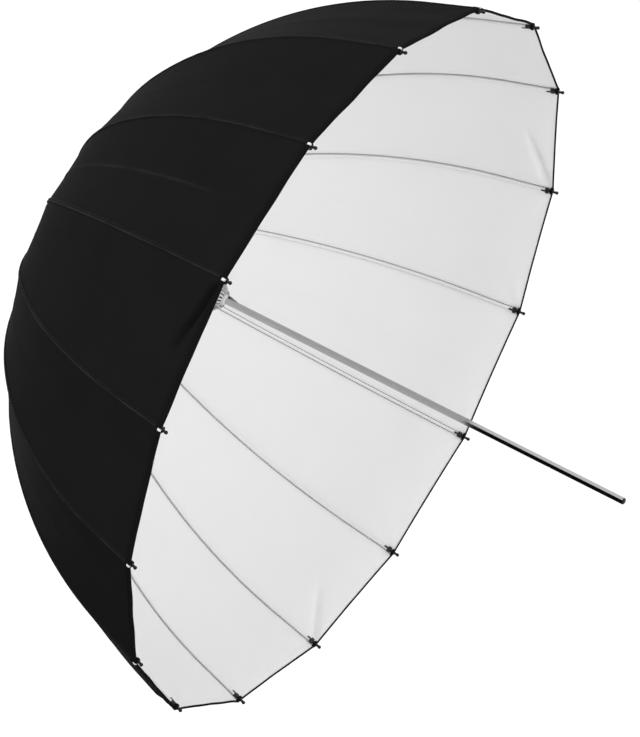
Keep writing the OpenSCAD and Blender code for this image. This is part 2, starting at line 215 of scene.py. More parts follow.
def finished(tree, colour, bump=None, **sockets):
    """Ends a material's tree in a Principled shader. bump is a height, a strength and a depth."""
    inputs = {"Base Color": colour}
    inputs.update({key.replace("_", " "): value for key, value in sockets.items()})
    if bump:
        raised = add(tree, "ShaderNodeBump", zip(("Height", "Strength", "Distance"), bump))
        inputs["Normal"] = raised.outputs["Normal"]
    shader = add(tree, "ShaderNodeBsdfPrincipled", inputs)
    add(tree, "ShaderNodeOutputMaterial", {"Surface": shader.outputs["BSDF"]})


def times(colour, factor):
    """A colour made paler or darker by a factor."""
    return [c * factor for c in colour[:3]] + [1.0]


def shaded(tree, place, colour, mottle_mm, depth):
    """The colour, darkened by up to depth in soft patches of about mottle_mm."""
    patches = add(tree, "ShaderNodeTexNoise",
                  {"Vector": place, "Scale": 1 / (mottle_mm * MM), "Detail": 3.0})
    blend = add(tree, "ShaderNodeMix", {0: patches.outputs["Fac"], 6: list(colour),
                                        7: times(colour, 1 - depth)}, data_type="RGBA")
    return blend.outputs[2]


def woven(tree, colour, thread_mm, mottle, roughness, specular, rub_and_highlight=None):
    """Cloth whose warp and weft follow the piece's own UV map, which is in metres. Where its
    attribute wear is set, it is paler by that factor, in patches of 30 mm: rubbed cloth, and a
    painted highlight on the seams' ridges."""
    place = add(tree, "ShaderNodeTexCoord").outputs["Object"]
    across = add(tree, "ShaderNodeUVMap", uv_map="cloth").outputs["UV"]
    scale = WAVE_TURN / (thread_mm * MM)
    warp, weft = (add(tree, "ShaderNodeTexWave", {"Vector": across, "Scale": scale},
                      bands_direction=direction).outputs["Fac"] for direction in "XY")
    weave = add(tree, "ShaderNodeMath", {0: warp, 1: weft}, operation="MULTIPLY").outputs[0]
    dyed = shaded(tree, place, colour, 55, mottle)
    # Paler where the cloth is rubbed, and where a highlight on the seams' ridges is painted in
    if rub_and_highlight:
        wear = add(tree, "ShaderNodeAttribute", attribute_name="wear").outputs["Fac"]
        uneven = add(tree, "ShaderNodeTexNoise", {"Vector": place, "Scale": 1 / (30 * MM)})
        some = add(tree, "ShaderNodeMapRange", {"Value": uneven.outputs["Fac"], "From Min": 0.35,
                                                "From Max": 0.65, "To Min": 0.25})
        worn_and_lit = add(tree, "ShaderNodeMath", {0: wear, 1: some.outputs["Result"]},
                   operation="MULTIPLY")
        dyed = add(tree, "ShaderNodeMix", {0: worn_and_lit.outputs[0], 6: dyed, 7: times(colour, rub_and_highlight)},
                   data_type="RGBA").outputs[2]
    finished(tree, dyed, bump=(weave, 0.35, 0.08 * thread_mm * MM), Roughness=roughness,
             Specular_IOR_Level=specular)


def twisted(tree, colour):
    """Thread with a lay of 0.5 mm."""
    place = add(tree, "ShaderNodeTexCoord").outputs["Object"]
    lay = add(tree, "ShaderNodeTexWave", {"Vector": place, "Scale": WAVE_TURN / (0.5 * MM)},
              bands_direction="DIAGONAL").outputs["Fac"]
    finished(tree, shaded(tree, place, colour, 4, 0.15), bump=(lay, 0.4, 0.05 * MM),
             Roughness=0.7, Specular_IOR_Level=0.25, Sheen_Weight=0.1)


def pultruded(tree, colour):
    """A rod with streaks along it, 22 of them round it and each about 30 mm long."""
    lie = {}
    for axis, name, scale in (("X", "run", 1 / (30 * MM)), ("Y", "around", 22.0)):
        noted = add(tree, "ShaderNodeAttribute", attribute_name=name).outputs["Fac"]
        lie[axis] = add(tree, "ShaderNodeMath", {0: noted, 1: scale},
                        operation="MULTIPLY").outputs[0]
    place = add(tree, "ShaderNodeCombineXYZ", lie).outputs[0]
    fibres = add(tree, "ShaderNodeTexNoise",
                 {"Vector": place, "Scale": 1.0, "Detail": 2.0}).outputs["Fac"]
    blend = add(tree, "ShaderNodeMix", {0: fibres, 6: list(colour), 7: times(colour, 0.9)},
                data_type="RGBA")
    finished(tree, blend.outputs[2], bump=(fibres, 0.3, 0.05 * MM), Roughness=0.35)


def buffed(tree, colour):
    """A metal tube with hair lines along it, 0.4 mm apart and 120 mm long."""
    place = add(tree, "ShaderNodeTexCoord").outputs["Object"]
    drawn = add(tree, "ShaderNodeMapping",
                {"Vector": place, "Scale": [1 / (mm * MM) for mm in (120, 0.4, 0.4)]})
    lines = add(tree, "ShaderNodeTexNoise",
                {"Vector": drawn.outputs[0], "Scale": 1.0, "Detail": 2.0}).outputs["Fac"]
    rough = add(tree, "ShaderNodeMapRange", {"Value": lines, "To Min": 0.05, "To Max": 0.12})
    finished(tree, shaded(tree, place, colour, 40, 0.08), bump=(lines, 0.15, 0.02 * MM),
             Metallic=1.0, Roughness=rough.outputs["Result"])


def dulled(tree, colour, dull_mm, dark, smoothest, roughest):
    """Metal, darkened in patches of 5 mm and dulled in patches of dull_mm."""
    place = add(tree, "ShaderNodeTexCoord").outputs["Object"]
    dull = add(tree, "ShaderNodeTexNoise",
               {"Vector": place, "Scale": 1 / (dull_mm * MM), "Detail": 4.0})
    rough = add(tree, "ShaderNodeMapRange",
                {"Value": dull.outputs["Fac"], "To Min": smoothest, "To Max": roughest})
    finished(tree, shaded(tree, place, colour, 5, dark), Metallic=1.0,
             Roughness=rough.outputs["Result"])


def skinned(tree, colour, skin_mm, detail, strength, mottle_mm, dark, roughness):
    """A skin with a grain of skin_mm, darkened in patches of mottle_mm."""
    place = add(tree, "ShaderNodeTexCoord").outputs["Object"]
    skin = add(tree, "ShaderNodeTexNoise",
               {"Vector": place, "Scale": 1 / (skin_mm * MM), "Detail": detail})
    finished(tree, shaded(tree, place, colour, mottle_mm, dark),
             bump=(skin.outputs["Fac"], strength, 0.05 * MM), Roughness=roughness)


def worn_bare(tree, colour):
    """Lacquer on the catch that gives way to steel from 2.4 to 4 mm behind its face."""
    place = add(tree, "ShaderNodeTexCoord").outputs["Object"]
    along = add(tree, "ShaderNodeSeparateXYZ", {"Vector": place}).outputs["X"]
    face_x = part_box("catch")[0].x
    bare = add(tree, "ShaderNodeMapRange", {"Value": along, "From Min": face_x + 2.4 * MM,
                                            "From Max": face_x + 4 * MM}).outputs["Result"]
    steel = shaded(tree, place, bpy.context.scene.umbrella_colours.wire, 3, 0.25)
    blend = add(tree, "ShaderNodeMix", {0: bare, 6: list(colour), 7: steel}, data_type="RGBA")
    finished(tree, blend.outputs[2], Metallic=bare, Roughness=0.35)


NYLON_SKIN = dict(skin_mm=0.6, detail=2.0, strength=0.25, mottle_mm=12, dark=0.06)
# Each finish: its material, its colour, and how that is worked
FINISHES = {
    # Calendered polyester satin, dense and white: matt, with no gloss.
    # Its threads are 0.2 mm apart, drawn at 1.1 mm so that they show.
    "lining": ("white_polyester_satin", "lining",
               partial(woven, thread_mm=1.1, mottle=0.03, roughness=0.85, specular=0.2)),
    # Black nylon taffeta, dull side out: an even deep black with next to no gloss, rubbed paler
    # along the folded edges of its seams, with a painted highlight there too, and along a sharp
    # crease.
    # Its threads are 0.25 mm apart, drawn at 1.2 mm so that they show.
    "cover": ("black_nylon_taffeta", "cover",
              partial(woven, thread_mm=1.2, mottle=0.25, roughness=0.8, specular=0.03, rub_and_highlight=2.6)),
    # Grosgrain polyester tape: matt black with cross ribs, 1 mm apart.
    "binding": ("black_grosgrain_tape", "binding",
                partial(woven, thread_mm=1.0, mottle=0.2, roughness=0.85, specular=0.03)),
    # Twisted polyester sewing thread: matt, with a faint sheen along its lay of 0.5 mm.
    "dark_thread": ("black_polyester_thread", "binding", twisted),
    # The grey thread beside the rods is stitching and also a painted shade along them
    "grey_thread": ("grey_polyester_thread", "thread", twisted),
    "pale_thread": ("white_polyester_thread", "lining", twisted),
    # Pultruded glass fibre in white resin: smooth and half glossy, with fine streaks
    # along the rod where the fibres lie, 0.5 mm wide and 30 mm long.
    "rod": ("white_fibreglass", "rod", pultruded),
    # Polished, plated steel tube: a clear grey mirror with hair lines along the tube,
    # 0.4 mm apart, left by the drawing and buffing.
    "tube": ("polished_steel", "steel", buffed),
    # Drawn spring-steel wire and leaf: a darker, softer metal, dulled in patches of 3 mm.
    "wire": ("spring_steel", "wire",
             partial(dulled, dull_mm=3, dark=0.25, smoothest=0.25, roughest=0.5)),
    # Bright zinc plate on drawn steel: pale and a little milky, with clouds of 6 mm.
    "plate": ("zinc_plated_steel", "plate",
              partial(dulled, dull_mm=6, dark=0.1, smoothest=0.3, roughest=0.45)),
    # Stoved black lacquer on steel: half glossy, with an orange-peel skin of 1.5 mm.
    "lacquer": ("black_lacquered_steel", "lacquer",
                partial(skinned, skin_mm=1.5, detail=1.0, strength=0.2, mottle_mm=8, dark=0.3,
                        roughness=0.32)),
    # Black lacquer on the catch, rubbed down to the steel where the runner rides up its ramp.
    "worn_lacquer": ("worn_black_lacquer", "lacquer", worn_bare),
    # Injection-moulded nylon: a dull skin with the spark-eroded grain of the mould,
    # 0.6 mm across.
    "dark_nylon": ("black_nylon", "dark_nylon", partial(skinned, roughness=0.45, **NYLON_SKIN)),
    "pale_nylon": ("white_nylon", "pale_nylon", partial(skinned, roughness=0.4, **NYLON_SKIN)),
}


@cache
def finish_of(name):
    """The named finish, made the first time that a piece asks for it."""
    material_name, colour, work = FINISHES[name]
    material, tree = new_material(material_name)
    work(tree, getattr(bpy.context.scene.umbrella_colours, colour))
    return material


# The bowl's shape

class Rib:
    """A rib's line in its own plane: straight at both ends, with two tangent arcs between."""

    def __init__(self, sizes, k):
        self.sizes, self.k = sizes, k
        self.half_pitch = math.pi / sizes.rib_count
        turn = self.half_pitch * (2 * k - 1)
        # Out from the shaft, and across the rib towards the next one
        self.radial = np.array([0, -math.sin(turn), math.cos(turn)])
        self.aside = np.array([0, -math.cos(turn), -math.sin(turn)])
        crown, shoulder, hem = sizes.crown_angle, sizes.shoulder_angle, sizes.hem_angle
        rise_x = (sizes.hem_x - CROWN_X - sizes.root_straight * math.cos(crown)
                  - sizes.tip_straight * math.cos(hem))
        rise_r = (sizes.hem_r - CROWN_PIVOT_R - sizes.root_straight * math.sin(crown)
                  - sizes.tip_straight * math.sin(hem))
        spans = [[math.sin(crown) - math.sin(shoulder), math.sin(shoulder) - math.sin(hem)],
                 [math.cos(shoulder) - math.cos(crown), math.cos(hem) - math.cos(shoulder)]]
        self.crown_arc, self.bowl_arc = np.linalg.solve(np.array(spans), [rise_x, rise_r])
        self.shoulder_s = sizes.root_straight + self.crown_arc * (crown - shoulder)
        self.tip_s = self.shoulder_s + self.bowl_arc * (shoulder - hem)
        self.length = self.tip_s + sizes.tip_straight

    def tag(self, base):
        """A name with the rib's number."""
        return f"{base}_{self.k:02d}"

    def angle(self, s):
        """Slope to the shaft at a distance s from the pivot."""
        on_crown = np.clip(s, self.sizes.root_straight, self.shoulder_s) - self.sizes.root_straight
        on_bowl = np.clip(s, self.shoulder_s, self.tip_s) - self.shoulder_s
        return self.sizes.crown_angle - on_crown / self.crown_arc - on_bowl / self.bowl_arc

    def point(self, s):
        """Place along the shaft and radius at a distance s from the pivot."""
        sizes = self.sizes
        crown, shoulder = sizes.crown_angle, sizes.shoulder_angle
        a = self.angle(s)
        root = np.minimum(s, sizes.root_straight)
        tip = np.maximum(s - self.tip_s, 0)
        on_crown, on_bowl = np.maximum(a, shoulder), np.minimum(a, shoulder)
        x = (CROWN_X + root * np.cos(crown) + tip * np.cos(sizes.hem_angle)
             + self.crown_arc * (np.sin(crown) - np.sin(on_crown))
             + self.bowl_arc * (np.sin(shoulder) - np.sin(on_bowl)))
        r = (CROWN_PIVOT_R + root * np.sin(crown) + tip * np.sin(sizes.hem_angle)
             + self.crown_arc * (np.cos(on_crown) - np.cos(crown))
             + self.bowl_arc * (np.cos(on_bowl) - np.cos(shoulder)))
        return x, r

    def in_row(self, x, r, z):
        """Points or directions of the rib's plane, in the row frame."""
        return (x[..., None] * np.array([1.0, 0, 0]) + r[..., None] * self.radial
                + z[..., None] * self.aside)

    def on_line(self, start, a, along, out, aside):
        """Points along, out from and across a line of slope a in the rib's plane."""
        x, r = start
        along, out, aside = np.broadcast_arrays(along, out, aside)
        return self.in_row(x + along * np.cos(a) - out * np.sin(a),
                           r + along * np.sin(a) + out * np.cos(a), aside)

    def at(self, s, along, out, aside):
        """Points along, out from and across the rib, counted from its place at s."""
        return self.on_line(self.point(s), self.angle(s), along, out, aside)

    def hem_reach(self, across):
        """Where the hem lies along the rib's line, at -1 to 1 from mid-gore to mid-gore."""
        share = np.abs(across) / 2
        return self.length - self.sizes.hem_scallop * 4 * share * (1 - share)

    def half_width(self, s):
        """From rib to mid-gore, across the rib's plane."""
        r = self.point(s)[1] + self.sizes.cloth_drop * np.cos(self.angle(s))
        return r * math.sin(self.half_pitch) * math.cos(self.half_pitch)


def on_each_rib(context, *makes):
    """Makes pieces rib by rib, for an operator."""
    sizes = context.scene.umbrella_sizes
    for k in range(1, sizes.rib_count + 1):
        rib = Rib(sizes, k)
        for make in makes:
            make(rib)
    return {"FINISHED"}


def smooth(low, high, value):
    """0 below low, 1 above high and an even curve between."""
    t = np.clip((value - low) / (high - low), 0, 1)
    return t * t * (3 - 2 * t)


def ridge(distance, width):
    """1 in the middle of a ridge, falling off to nothing within about twice its width."""
    return np.exp(-(distance / width) ** 2)


# Tucks that start at a rib's tip and run beside the hem, by gore, mm: distance from the hem at the
# tip, slope to the hem, length, depth inwards and width. They fade towards the tip and the hem.
TUCKS = {4: (6.5, 0.28, 110, 9, 4.2), 10: (3, 0.6, 80, -4, 4.5), 14: (3, 0.37, 95, -6, 4.2)}
SLIGHT_TUCK = (2, 0.4, 40, 0.4, 5)
TUCK_FROM_TIP = (3, 14)
TUCK_FROM_HEM = (1, 8)
# Creases that packing pressed along the middle of the gores: height, mm, width, and where they set
# in and run out, as shares of the way from the crown to the hem
CREASES = {3: 0.55}
SLIGHT_CREASE = 0.2
CREASE_W = 2.2 * MM
CREASE_STARTS, CREASE_ENDS = (0.15, 0.35), (0.75, 0.95)
# How far a gore with a drawn-in hem bellies out behind it, mm, how that grows from rib to rib, and
# where it is full, mm from the hem
BELLIES = {7: 4.5}
BELLY_GROWS = 0.6
BELLY_ENDS = 0.93
BELLY_RISES, BELLY_FALLS = (0, 25), (50, 160)
# How flat a gore's sag runs along it, and the height and lean of its long folds
SAG_FLAT = 0.8
FOLD_H, FOLD_LEAN = 0.28 * MM, 0.6
# Drag lines from the tips: height, number in a whole turn, reach and where they set in
DRAG_H, DRAG_LINES, DRAG_REACH, DRAG_FROM = 0.55 * MM, 9, 45 * MM, (1.5 * MM, 14 * MM)
# Puckers beside a seam: height, length, length over which that wanders, width, where they set in
PUCKER_H, PUCKER_L, PUCKER_WANDER, PUCKER_W = 0.16 * MM, 19 * MM, 70 * MM, 7 * MM
PUCKER_FROM = (0, 4 * MM)


def creased(run):
    """How sharp a crease is, at 0 to 1 from the crown to the hem."""
    return smooth(*CREASE_STARTS, run) * (1 - smooth(*CREASE_ENDS, run))


def pressed(gore, share, s, span, reach):
    """The tuck, the crease and the belly of a gore."""
    start, lean, far, deep, wide = TUCKS.get(gore, SLIGHT_TUCK)
    from_tip, back = share * span / MM, np.maximum(reach - s, 0) / MM
    tuck = -deep * ridge(back - start - lean * from_tip, wide)
    tuck = tuck * smooth(*TUCK_FROM_TIP, from_tip) * (1 - smooth(0.5 * far, far, from_tip))
    tuck = tuck * smooth(*TUCK_FROM_HEM, back)
    crease = CREASES.get(gore, SLIGHT_CREASE) * ridge((share - 0.5) * span, CREASE_W)
    crease = crease * creased(s / reach)
    belly = BELLIES.get(gore, 0) * share ** BELLY_GROWS * (1 - smooth(BELLY_ENDS, 1, share))
    belly = belly * smooth(*BELLY_RISES, back) * (1 - smooth(*BELLY_FALLS, back))
    return (tuck + crease + belly) * MM


def slack(sizes, gore, share, s, span, reach):
    """How far the cloth of a gore stands out from its flat stretch: it draws in between the ribs,
    with a few long soft folds, drag lines that fan out from the rib tips, puckers along the seams
    and what is pressed into it."""
    draw = np.random.default_rng(SEED + gore)
    phase, lean = draw.uniform(0, 2 * math.pi, 4), draw.uniform(-FOLD_LEAN, FOLD_LEAN, 3)
    run = s / reach
    middle = 4 * share * (1 - share)
    drawn_in = -sizes.gore_sag * middle * np.sin(math.pi * np.clip(run, 0, 1)) ** SAG_FLAT
    folds = sum(np.sin(2 * math.pi * (n * share + lean[n - 1] * run) + phase[n]) for n in (1, 2, 3))
    long_folds = FOLD_H * middle * run ** 2 * folds
    drag = np.zeros_like(share)
    back = np.maximum(reach - s, 0)
    for from_tip, offset in ((share * span, phase[0]), ((1 - share) * span, phase[1])):
        fan = np.sin(DRAG_LINES * np.arctan2(from_tip, back + 1 * MM) + offset)
        away = np.hypot(from_tip, back)
        drag += fan * np.exp(-away / DRAG_REACH) * smooth(*DRAG_FROM, from_tip)
    pucker = np.sin(2 * math.pi * s / PUCKER_L + phase[2] + 2 * np.sin(s / PUCKER_WANDER))
    near_rib = np.minimum(share, 1 - share) * span
    pucker = PUCKER_H * pucker * np.exp(-near_rib / PUCKER_W) * smooth(*PUCKER_FROM, near_rib)
    return drawn_in + long_folds + DRAG_H * drag + pucker + pressed(gore, share, s, span, reach)


RIB_ROUND = 0.8 * MM  # the cloth turns over a rod within this distance either side


def cloth_face(rib, across, s):
    """The white face's points and outward normals, at -1 to 1 across a rib and s along it."""
    sizes, h, count = rib.sizes, rib.half_pitch, rib.sizes.rib_count
    a = rib.angle(s)
    x, r = rib.point(s)
    x, r = x - sizes.cloth_drop * np.sin(a), r + sizes.cloth_drop * np.cos(a)
    width = r * math.sin(h) * math.cos(h)
    z = across * width
    side = np.clip(z / RIB_ROUND, -1, 1)
    size = np.sqrt((np.sin(a) * math.cos(h)) ** 2 + np.cos(a) ** 2)
    normal = rib.in_row(-np.sin(a) * math.cos(h) / size, np.cos(a) * math.cos(h) / size,
                        np.cos(a) * math.sin(h) * side / size)
    share, span = np.abs(across) / 2, 2 * width / math.cos(h)
    stands = np.where(across >= 0, slack(sizes, rib.k % count, share, s, span, rib.length),
                      slack(sizes, (rib.k - 1) % count, 1 - share, s, span, rib.length))
    place = rib.in_row(x, r - np.abs(z) * math.tan(h), z)
    return place + normal * stands[..., None], normal


# Columns either side of a rib, mm, close together where the seam is folded, and back from mid-gore,
# where the cloth is creased. They draw together where the gore is narrow.
SEAM_COLUMNS = (0.2, 0.8, 1.6, 2.6, 3.6, 4.7, 5.6, 7.5)
CREASE_COLUMNS = (5.2, 2.6, 1.2, 0)
GORE_COLUMNS = 11
NARROW = 14 * MM
# Rows along a rib, and how many of them lie near the hem, where the cloth is tucked
CLOTH_ROWS = 128
HEM_ROWS = 48
HEM_ZONE = 90 * MM


def narrowed(width):
    """The share of their distance from the rib or mid-gore that columns keep."""
    return np.minimum(1, width / NARROW)


def cloth_columns(width):
    """Places across a rib for each row, from mid-gore to mid-gore, in metres."""
    fit = narrowed(width)[:, None]
    near = np.array(SEAM_COLUMNS) * MM * fit
    middle = width[:, None] - np.array(CREASE_COLUMNS) * MM * fit
    share = np.linspace(0, 1, GORE_COLUMNS + 2)[1:-1]
    between = near[:, -1:] + (middle[:, :1] - near[:, -1:]) * share
    half = np.concatenate([near, between, middle], axis=1)
    return np.concatenate([-half[:, ::-1], np.zeros((len(width), 1)), half], axis=1)


SHARP = math.radians(35)  # edges that turn by more are not shaded smooth


def piece(name, points, faces, materials, material_of=None, uv=None, wear=None):
    """A smooth-shaded mesh object with its place in its mesh."""
    mesh = bpy.data.meshes.new(name)
    mesh.from_pydata([tuple(p) for p in points], [], faces)
    for material in materials:
        mesh.materials.append(material)
    if material_of is not None:
        mesh.polygons.foreach_set("material_index", material_of)
    if uv is not None:
        layer = mesh.uv_layers.new(name="cloth")
        corner = np.zeros(len(mesh.loops), np.int32)
        mesh.loops.foreach_get("vertex_index", corner)
        layer.data.foreach_set("uv", np.asarray(uv, np.float32)[corner].ravel())
    if wear is not None:
        mesh.attributes.new("wear", "FLOAT", "POINT").data.foreach_set("value", wear)
    work = bmesh.new()
    work.from_mesh(mesh)
    bmesh.ops.recalc_face_normals(work, faces=work.faces)
    work.to_mesh(mesh)
    work.free()
    mesh.shade_smooth()
    mesh.set_sharp_from_angle(angle=SHARP)
    made = bpy.data.objects.new(name, mesh)
    bpy.context.scene.collection.objects.link(made)
    return made


def grid_faces(rows, columns, ring=False):
    """Faces between rows of points. In a ring, each row closes on itself."""
    return [(i * columns + j, i * columns + (j + 1) % columns,
             (i + 1) * columns + (j + 1) % columns, (i + 1) * columns + j)
            for i in range(rows - 1) for j in range(columns if ring else columns - 1)]


def tube_faces(rows, around, closed=False):
    """Faces of rows of points that each close on themselves. The last row meets the first in a
    closed tube, and otherwise both ends are capped."""
    size = rows * around
    if closed:
        return [tuple(v % size for v in face) for face in grid_faces(rows + 1, around, ring=True)]
    caps = [tuple(range(around)), tuple(range(size - around, size))]
    return grid_faces(rows, around, ring=True) + caps


def on_cloth(made, rib):
    """Rides on its rib, with a mesh of its own."""
    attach(made, rib.tag("rib"))
    rib.tag("rib_fold")
    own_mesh(made)


# Across a seam: half the step at its fold, how far its felled edge and its ditch run out, and the
# middle and width of what is paler on it, rubbed and a painted highlight, and the width of what is
# rubbed paler on a crease
SEAM_STEP = 0.2 * MM
FELL_OUT, FELL_IN = 0.6 * MM, 0.3 * MM
DITCH_ENDS = (0.8 * MM, 3.6 * MM)
SEAM_RUB_AND_HIGHLIGHT, SEAM_RUB_AND_HIGHLIGHT_W, CREASE_RUB_W = 0.8 * MM, 0.7 * MM, 1.5 * MM


def make_cloth(rib):
    """One rib's share of the bowl: white lining and black cover, sewn as one sheet."""
    sizes, first = rib.sizes, rib.sizes.cloth_start
    zone = rib.length - HEM_ZONE
    rows = np.concatenate([np.linspace(first, zone, CLOTH_ROWS - HEM_ROWS, endpoint=False),
                           np.linspace(zone, rib.length, HEM_ROWS + 1)])
    width = rib.half_width(rows)
    aside = cloth_columns(width)
    across = aside / width[:, None]
    share = (rows - first) / (rib.length - first)
    s = first + share[:, None] * (rib.hem_reach(across) - first)
    inner, normal = cloth_face(rib, across, s)
    fold = aside / narrowed(width)[:, None]
    below = smooth(-SEAM_STEP, SEAM_STEP, fold)
    felled = smooth(-sizes.seam_w - FELL_OUT, -sizes.seam_w + FELL_IN, fold) * (1 - below)
    ditch = below * (1 - smooth(*DITCH_ENDS, fold))
    height = sizes.cloth_t + sizes.seam_rise * felled - sizes.seam_ditch * ditch
    outer = inner + normal * height[..., None]
    ahead, behind = (CREASES.get(gore % sizes.rib_count, 0) for gore in (rib.k, rib.k - 1))
    crease = np.where(aside >= 0, ahead, behind) * creased(s / rib.length)
    # Paler along each seam's felled ridge, rubbed and a painted highlight, and rubbed paler along a
    # crease
    wear = (ridge(fold + SEAM_RUB_AND_HIGHLIGHT, SEAM_RUB_AND_HIGHLIGHT_W)
            + crease * ridge(width[:, None] - np.abs(aside), CREASE_RUB_W)).ravel()
    n, m = inner.shape[:2]
    size = n * m
    grid = grid_faces(n, m)
    # The cover's faces start at the same corner as the lining's, so that both split alike
    cover = [tuple(size + face[corner] for corner in (0, 3, 2, 1)) for face in grid]
    edge = [*range(m), *range(2 * m - 1, size, m), *range(size - 2, size - m - 1, -1),
            *range(size - 2 * m, 0, -m)]
    rim = [(a, b, b + size, a + size) for a, b in zip(edge, edge[1:] + edge[:1])]
    uv = np.stack([aside, s], axis=-1).reshape(-1, 2)
    made = piece(rib.tag("cloth"), np.concatenate([inner.reshape(-1, 3), outer.reshape(-1, 3)]),
                 grid + cover + rim, [finish_of("lining"), finish_of("cover")],
                 [0] * len(grid) + [1] * (len(cover) + len(rim)), np.concatenate([uv, uv]),
                 np.concatenate([0 * wear, wear]))
    on_cloth(made, rib)
    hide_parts(rib.tag("canopy"))


class UMBRELLA_OT_cloth(bpy.types.Operator):
    """Sew the bowl's cloth: one sheet for each rib, which meets its neighbours at mid-gore"""

    bl_idname = "umbrella.cloth"
    bl_label = "Bowl cloth"

    def execute(self, context):
        return on_each_rib(context, make_cloth)


def tape(name, rib, rows, run, aside):
    """A solid strip of tape on the cloth, from closed profiles with their UV map's two lengths."""
    rows = np.stack(rows, axis=1)
    uv = np.stack(np.broadcast_arrays(run[None, :], aside[:, None]), axis=-1).reshape(-1, 2)
    made = piece(rib.tag(name), rows.reshape(-1, 3), tube_faces(*rows.shape[:2]),
                 [finish_of("binding")], uv=uv)
    on_cloth(made, rib)


# The binding's shares of its width outside, its play on the cloth, and its turn at the hem: where
# it starts, and how far its corners and its middle stand past the hem
BINDING_SHARES = (1.0, 0.75, 0.5, 0.25)
BINDING_PLAY = 0.03 * MM
TURN_START, TURN_CORNER, TURN_MIDDLE = -0.3 * MM, 0.25 * MM, 0.6 * MM


def make_binding(rib):
    """The hem's tape, folded over the edge: wide outside, narrow inside."""
    sizes = rib.sizes
    width = rib.half_width(np.array([rib.length]))
    across = (cloth_columns(width) / width)[0]
    end = rib.hem_reach(across)
    thick, tape_t, play = sizes.cloth_t, sizes.binding_t, BINDING_PLAY
    proud = thick + sizes.seam_rise + tape_t
    strip = [-sizes.binding_out * share for share in BINDING_SHARES]
    profile = [(back, proud) for back in strip + [TURN_START]]
    profile += [(TURN_CORNER, thick + tape_t), (TURN_MIDDLE, thick * 0.5),
                (TURN_CORNER, -0.7 * tape_t), (TURN_START, -tape_t), (-sizes.binding_in, -tape_t),
                (-sizes.binding_in, -play), (play, -play), (play, thick + play)]
    profile += [(back, thick + play) for back in reversed(strip)]
    a = rib.angle(end)
    ahead = rib.in_row(np.cos(a), np.sin(a), np.zeros_like(a))
    rows = []
    for back, out in profile:
        inside = np.minimum(back, 0)
        place, normal = cloth_face(rib, across, end + inside)
        rows.append(place + normal * out + ahead * (back - inside))
    run = np.cumsum([0.0] + [math.dist(p, q) for p, q in zip(profile, profile[1:])])
    tape("binding", rib, rows, run, across * width[0])


# A tip's loop of tape, across the rib: place across it and depth from the rod's middle, mm
LOOP_PATH = ((-4.6, 2.3), (-3.8, 1.7), (-3.0, -1.2), (-1.8, -2.45), (0, -2.8),
             (1.8, -2.45), (3.0, -1.2), (3.8, 1.7), (4.6, 2.3))
LOOP_POINTS = 33
LOOP_CORNERS = ((-0.5, -0.5), (0.5, -0.5), (0.5, 0.5), (-0.5, 0.5))
LOOP_WIDTH = 2.6 * MM
LOOP_BACK = 1.8 * MM
LOOP_T = 0.4 * MM


def make_loop(rib):
    """A loop of tape sewn on the hem, which holds the rib's tip."""
    path = np.array(LOOP_PATH) * MM
    fine = np.linspace(0, len(path) - 1, LOOP_POINTS)
    aside, out = (np.interp(fine, range(len(path)), column) for column in path.T)
    lie = np.stack([np.gradient(aside), np.gradient(out)], axis=-1)
    lie /= np.linalg.norm(lie, axis=-1, keepdims=True)
    slant = math.tan(rib.half_pitch) * math.cos(rib.sizes.hem_angle)
    rows = []
    for run, rise in LOOP_CORNERS:
        z = aside - lie[:, 1] * rise * LOOP_T
        y = out + lie[:, 0] * rise * LOOP_T - np.abs(z) * slant
        rows.append(rib.at(rib.length - LOOP_BACK, run * LOOP_WIDTH, y, z))
    tape("tip_loop", rib, rows, np.array(LOOP_CORNERS)[:, 0] * LOOP_WIDTH, aside)


class UMBRELLA_OT_binding(bpy.types.Operator):
    """Bind the hem with tape and add the loops that hold the rib tips"""

    bl_idname = "umbrella.binding"
    bl_label = "Hem binding"

    def execute(self, context):
        return on_each_rib(context, make_binding, make_loop)


# Geometry Nodes trees

def new_tree(name, **sockets):
    """A tree with a Geometry input and output and named inputs; returns it with its group input."""
    tree = bpy.data.node_groups.new(name, "GeometryNodeTree")
    tree.interface.new_socket("Geometry", in_out="INPUT", socket_type="NodeSocketGeometry")
    for socket, kind in sockets.items():
        tree.interface.new_socket(socket.replace("_", " "), in_out="INPUT",
                                  socket_type="NodeSocket" + kind)
    tree.interface.new_socket("Geometry", in_out="OUTPUT", socket_type="NodeSocketGeometry")
    return tree, tree.nodes.new("NodeGroupInput").outputs


def close_tree(tree, geometry, material):
    """Ends a tree: real geometry, smooth, in its material."""
    real = add(tree, "GeometryNodeRealizeInstances", {0: geometry})
    even = add(tree, "GeometryNodeSetShadeSmooth", {"Geometry": real.outputs[0]})
    painted = add(tree, "GeometryNodeSetMaterial",
                  {"Geometry": even.outputs[0], "Material": material})
    add(tree, "NodeGroupOutput", {0: painted.outputs[0]})


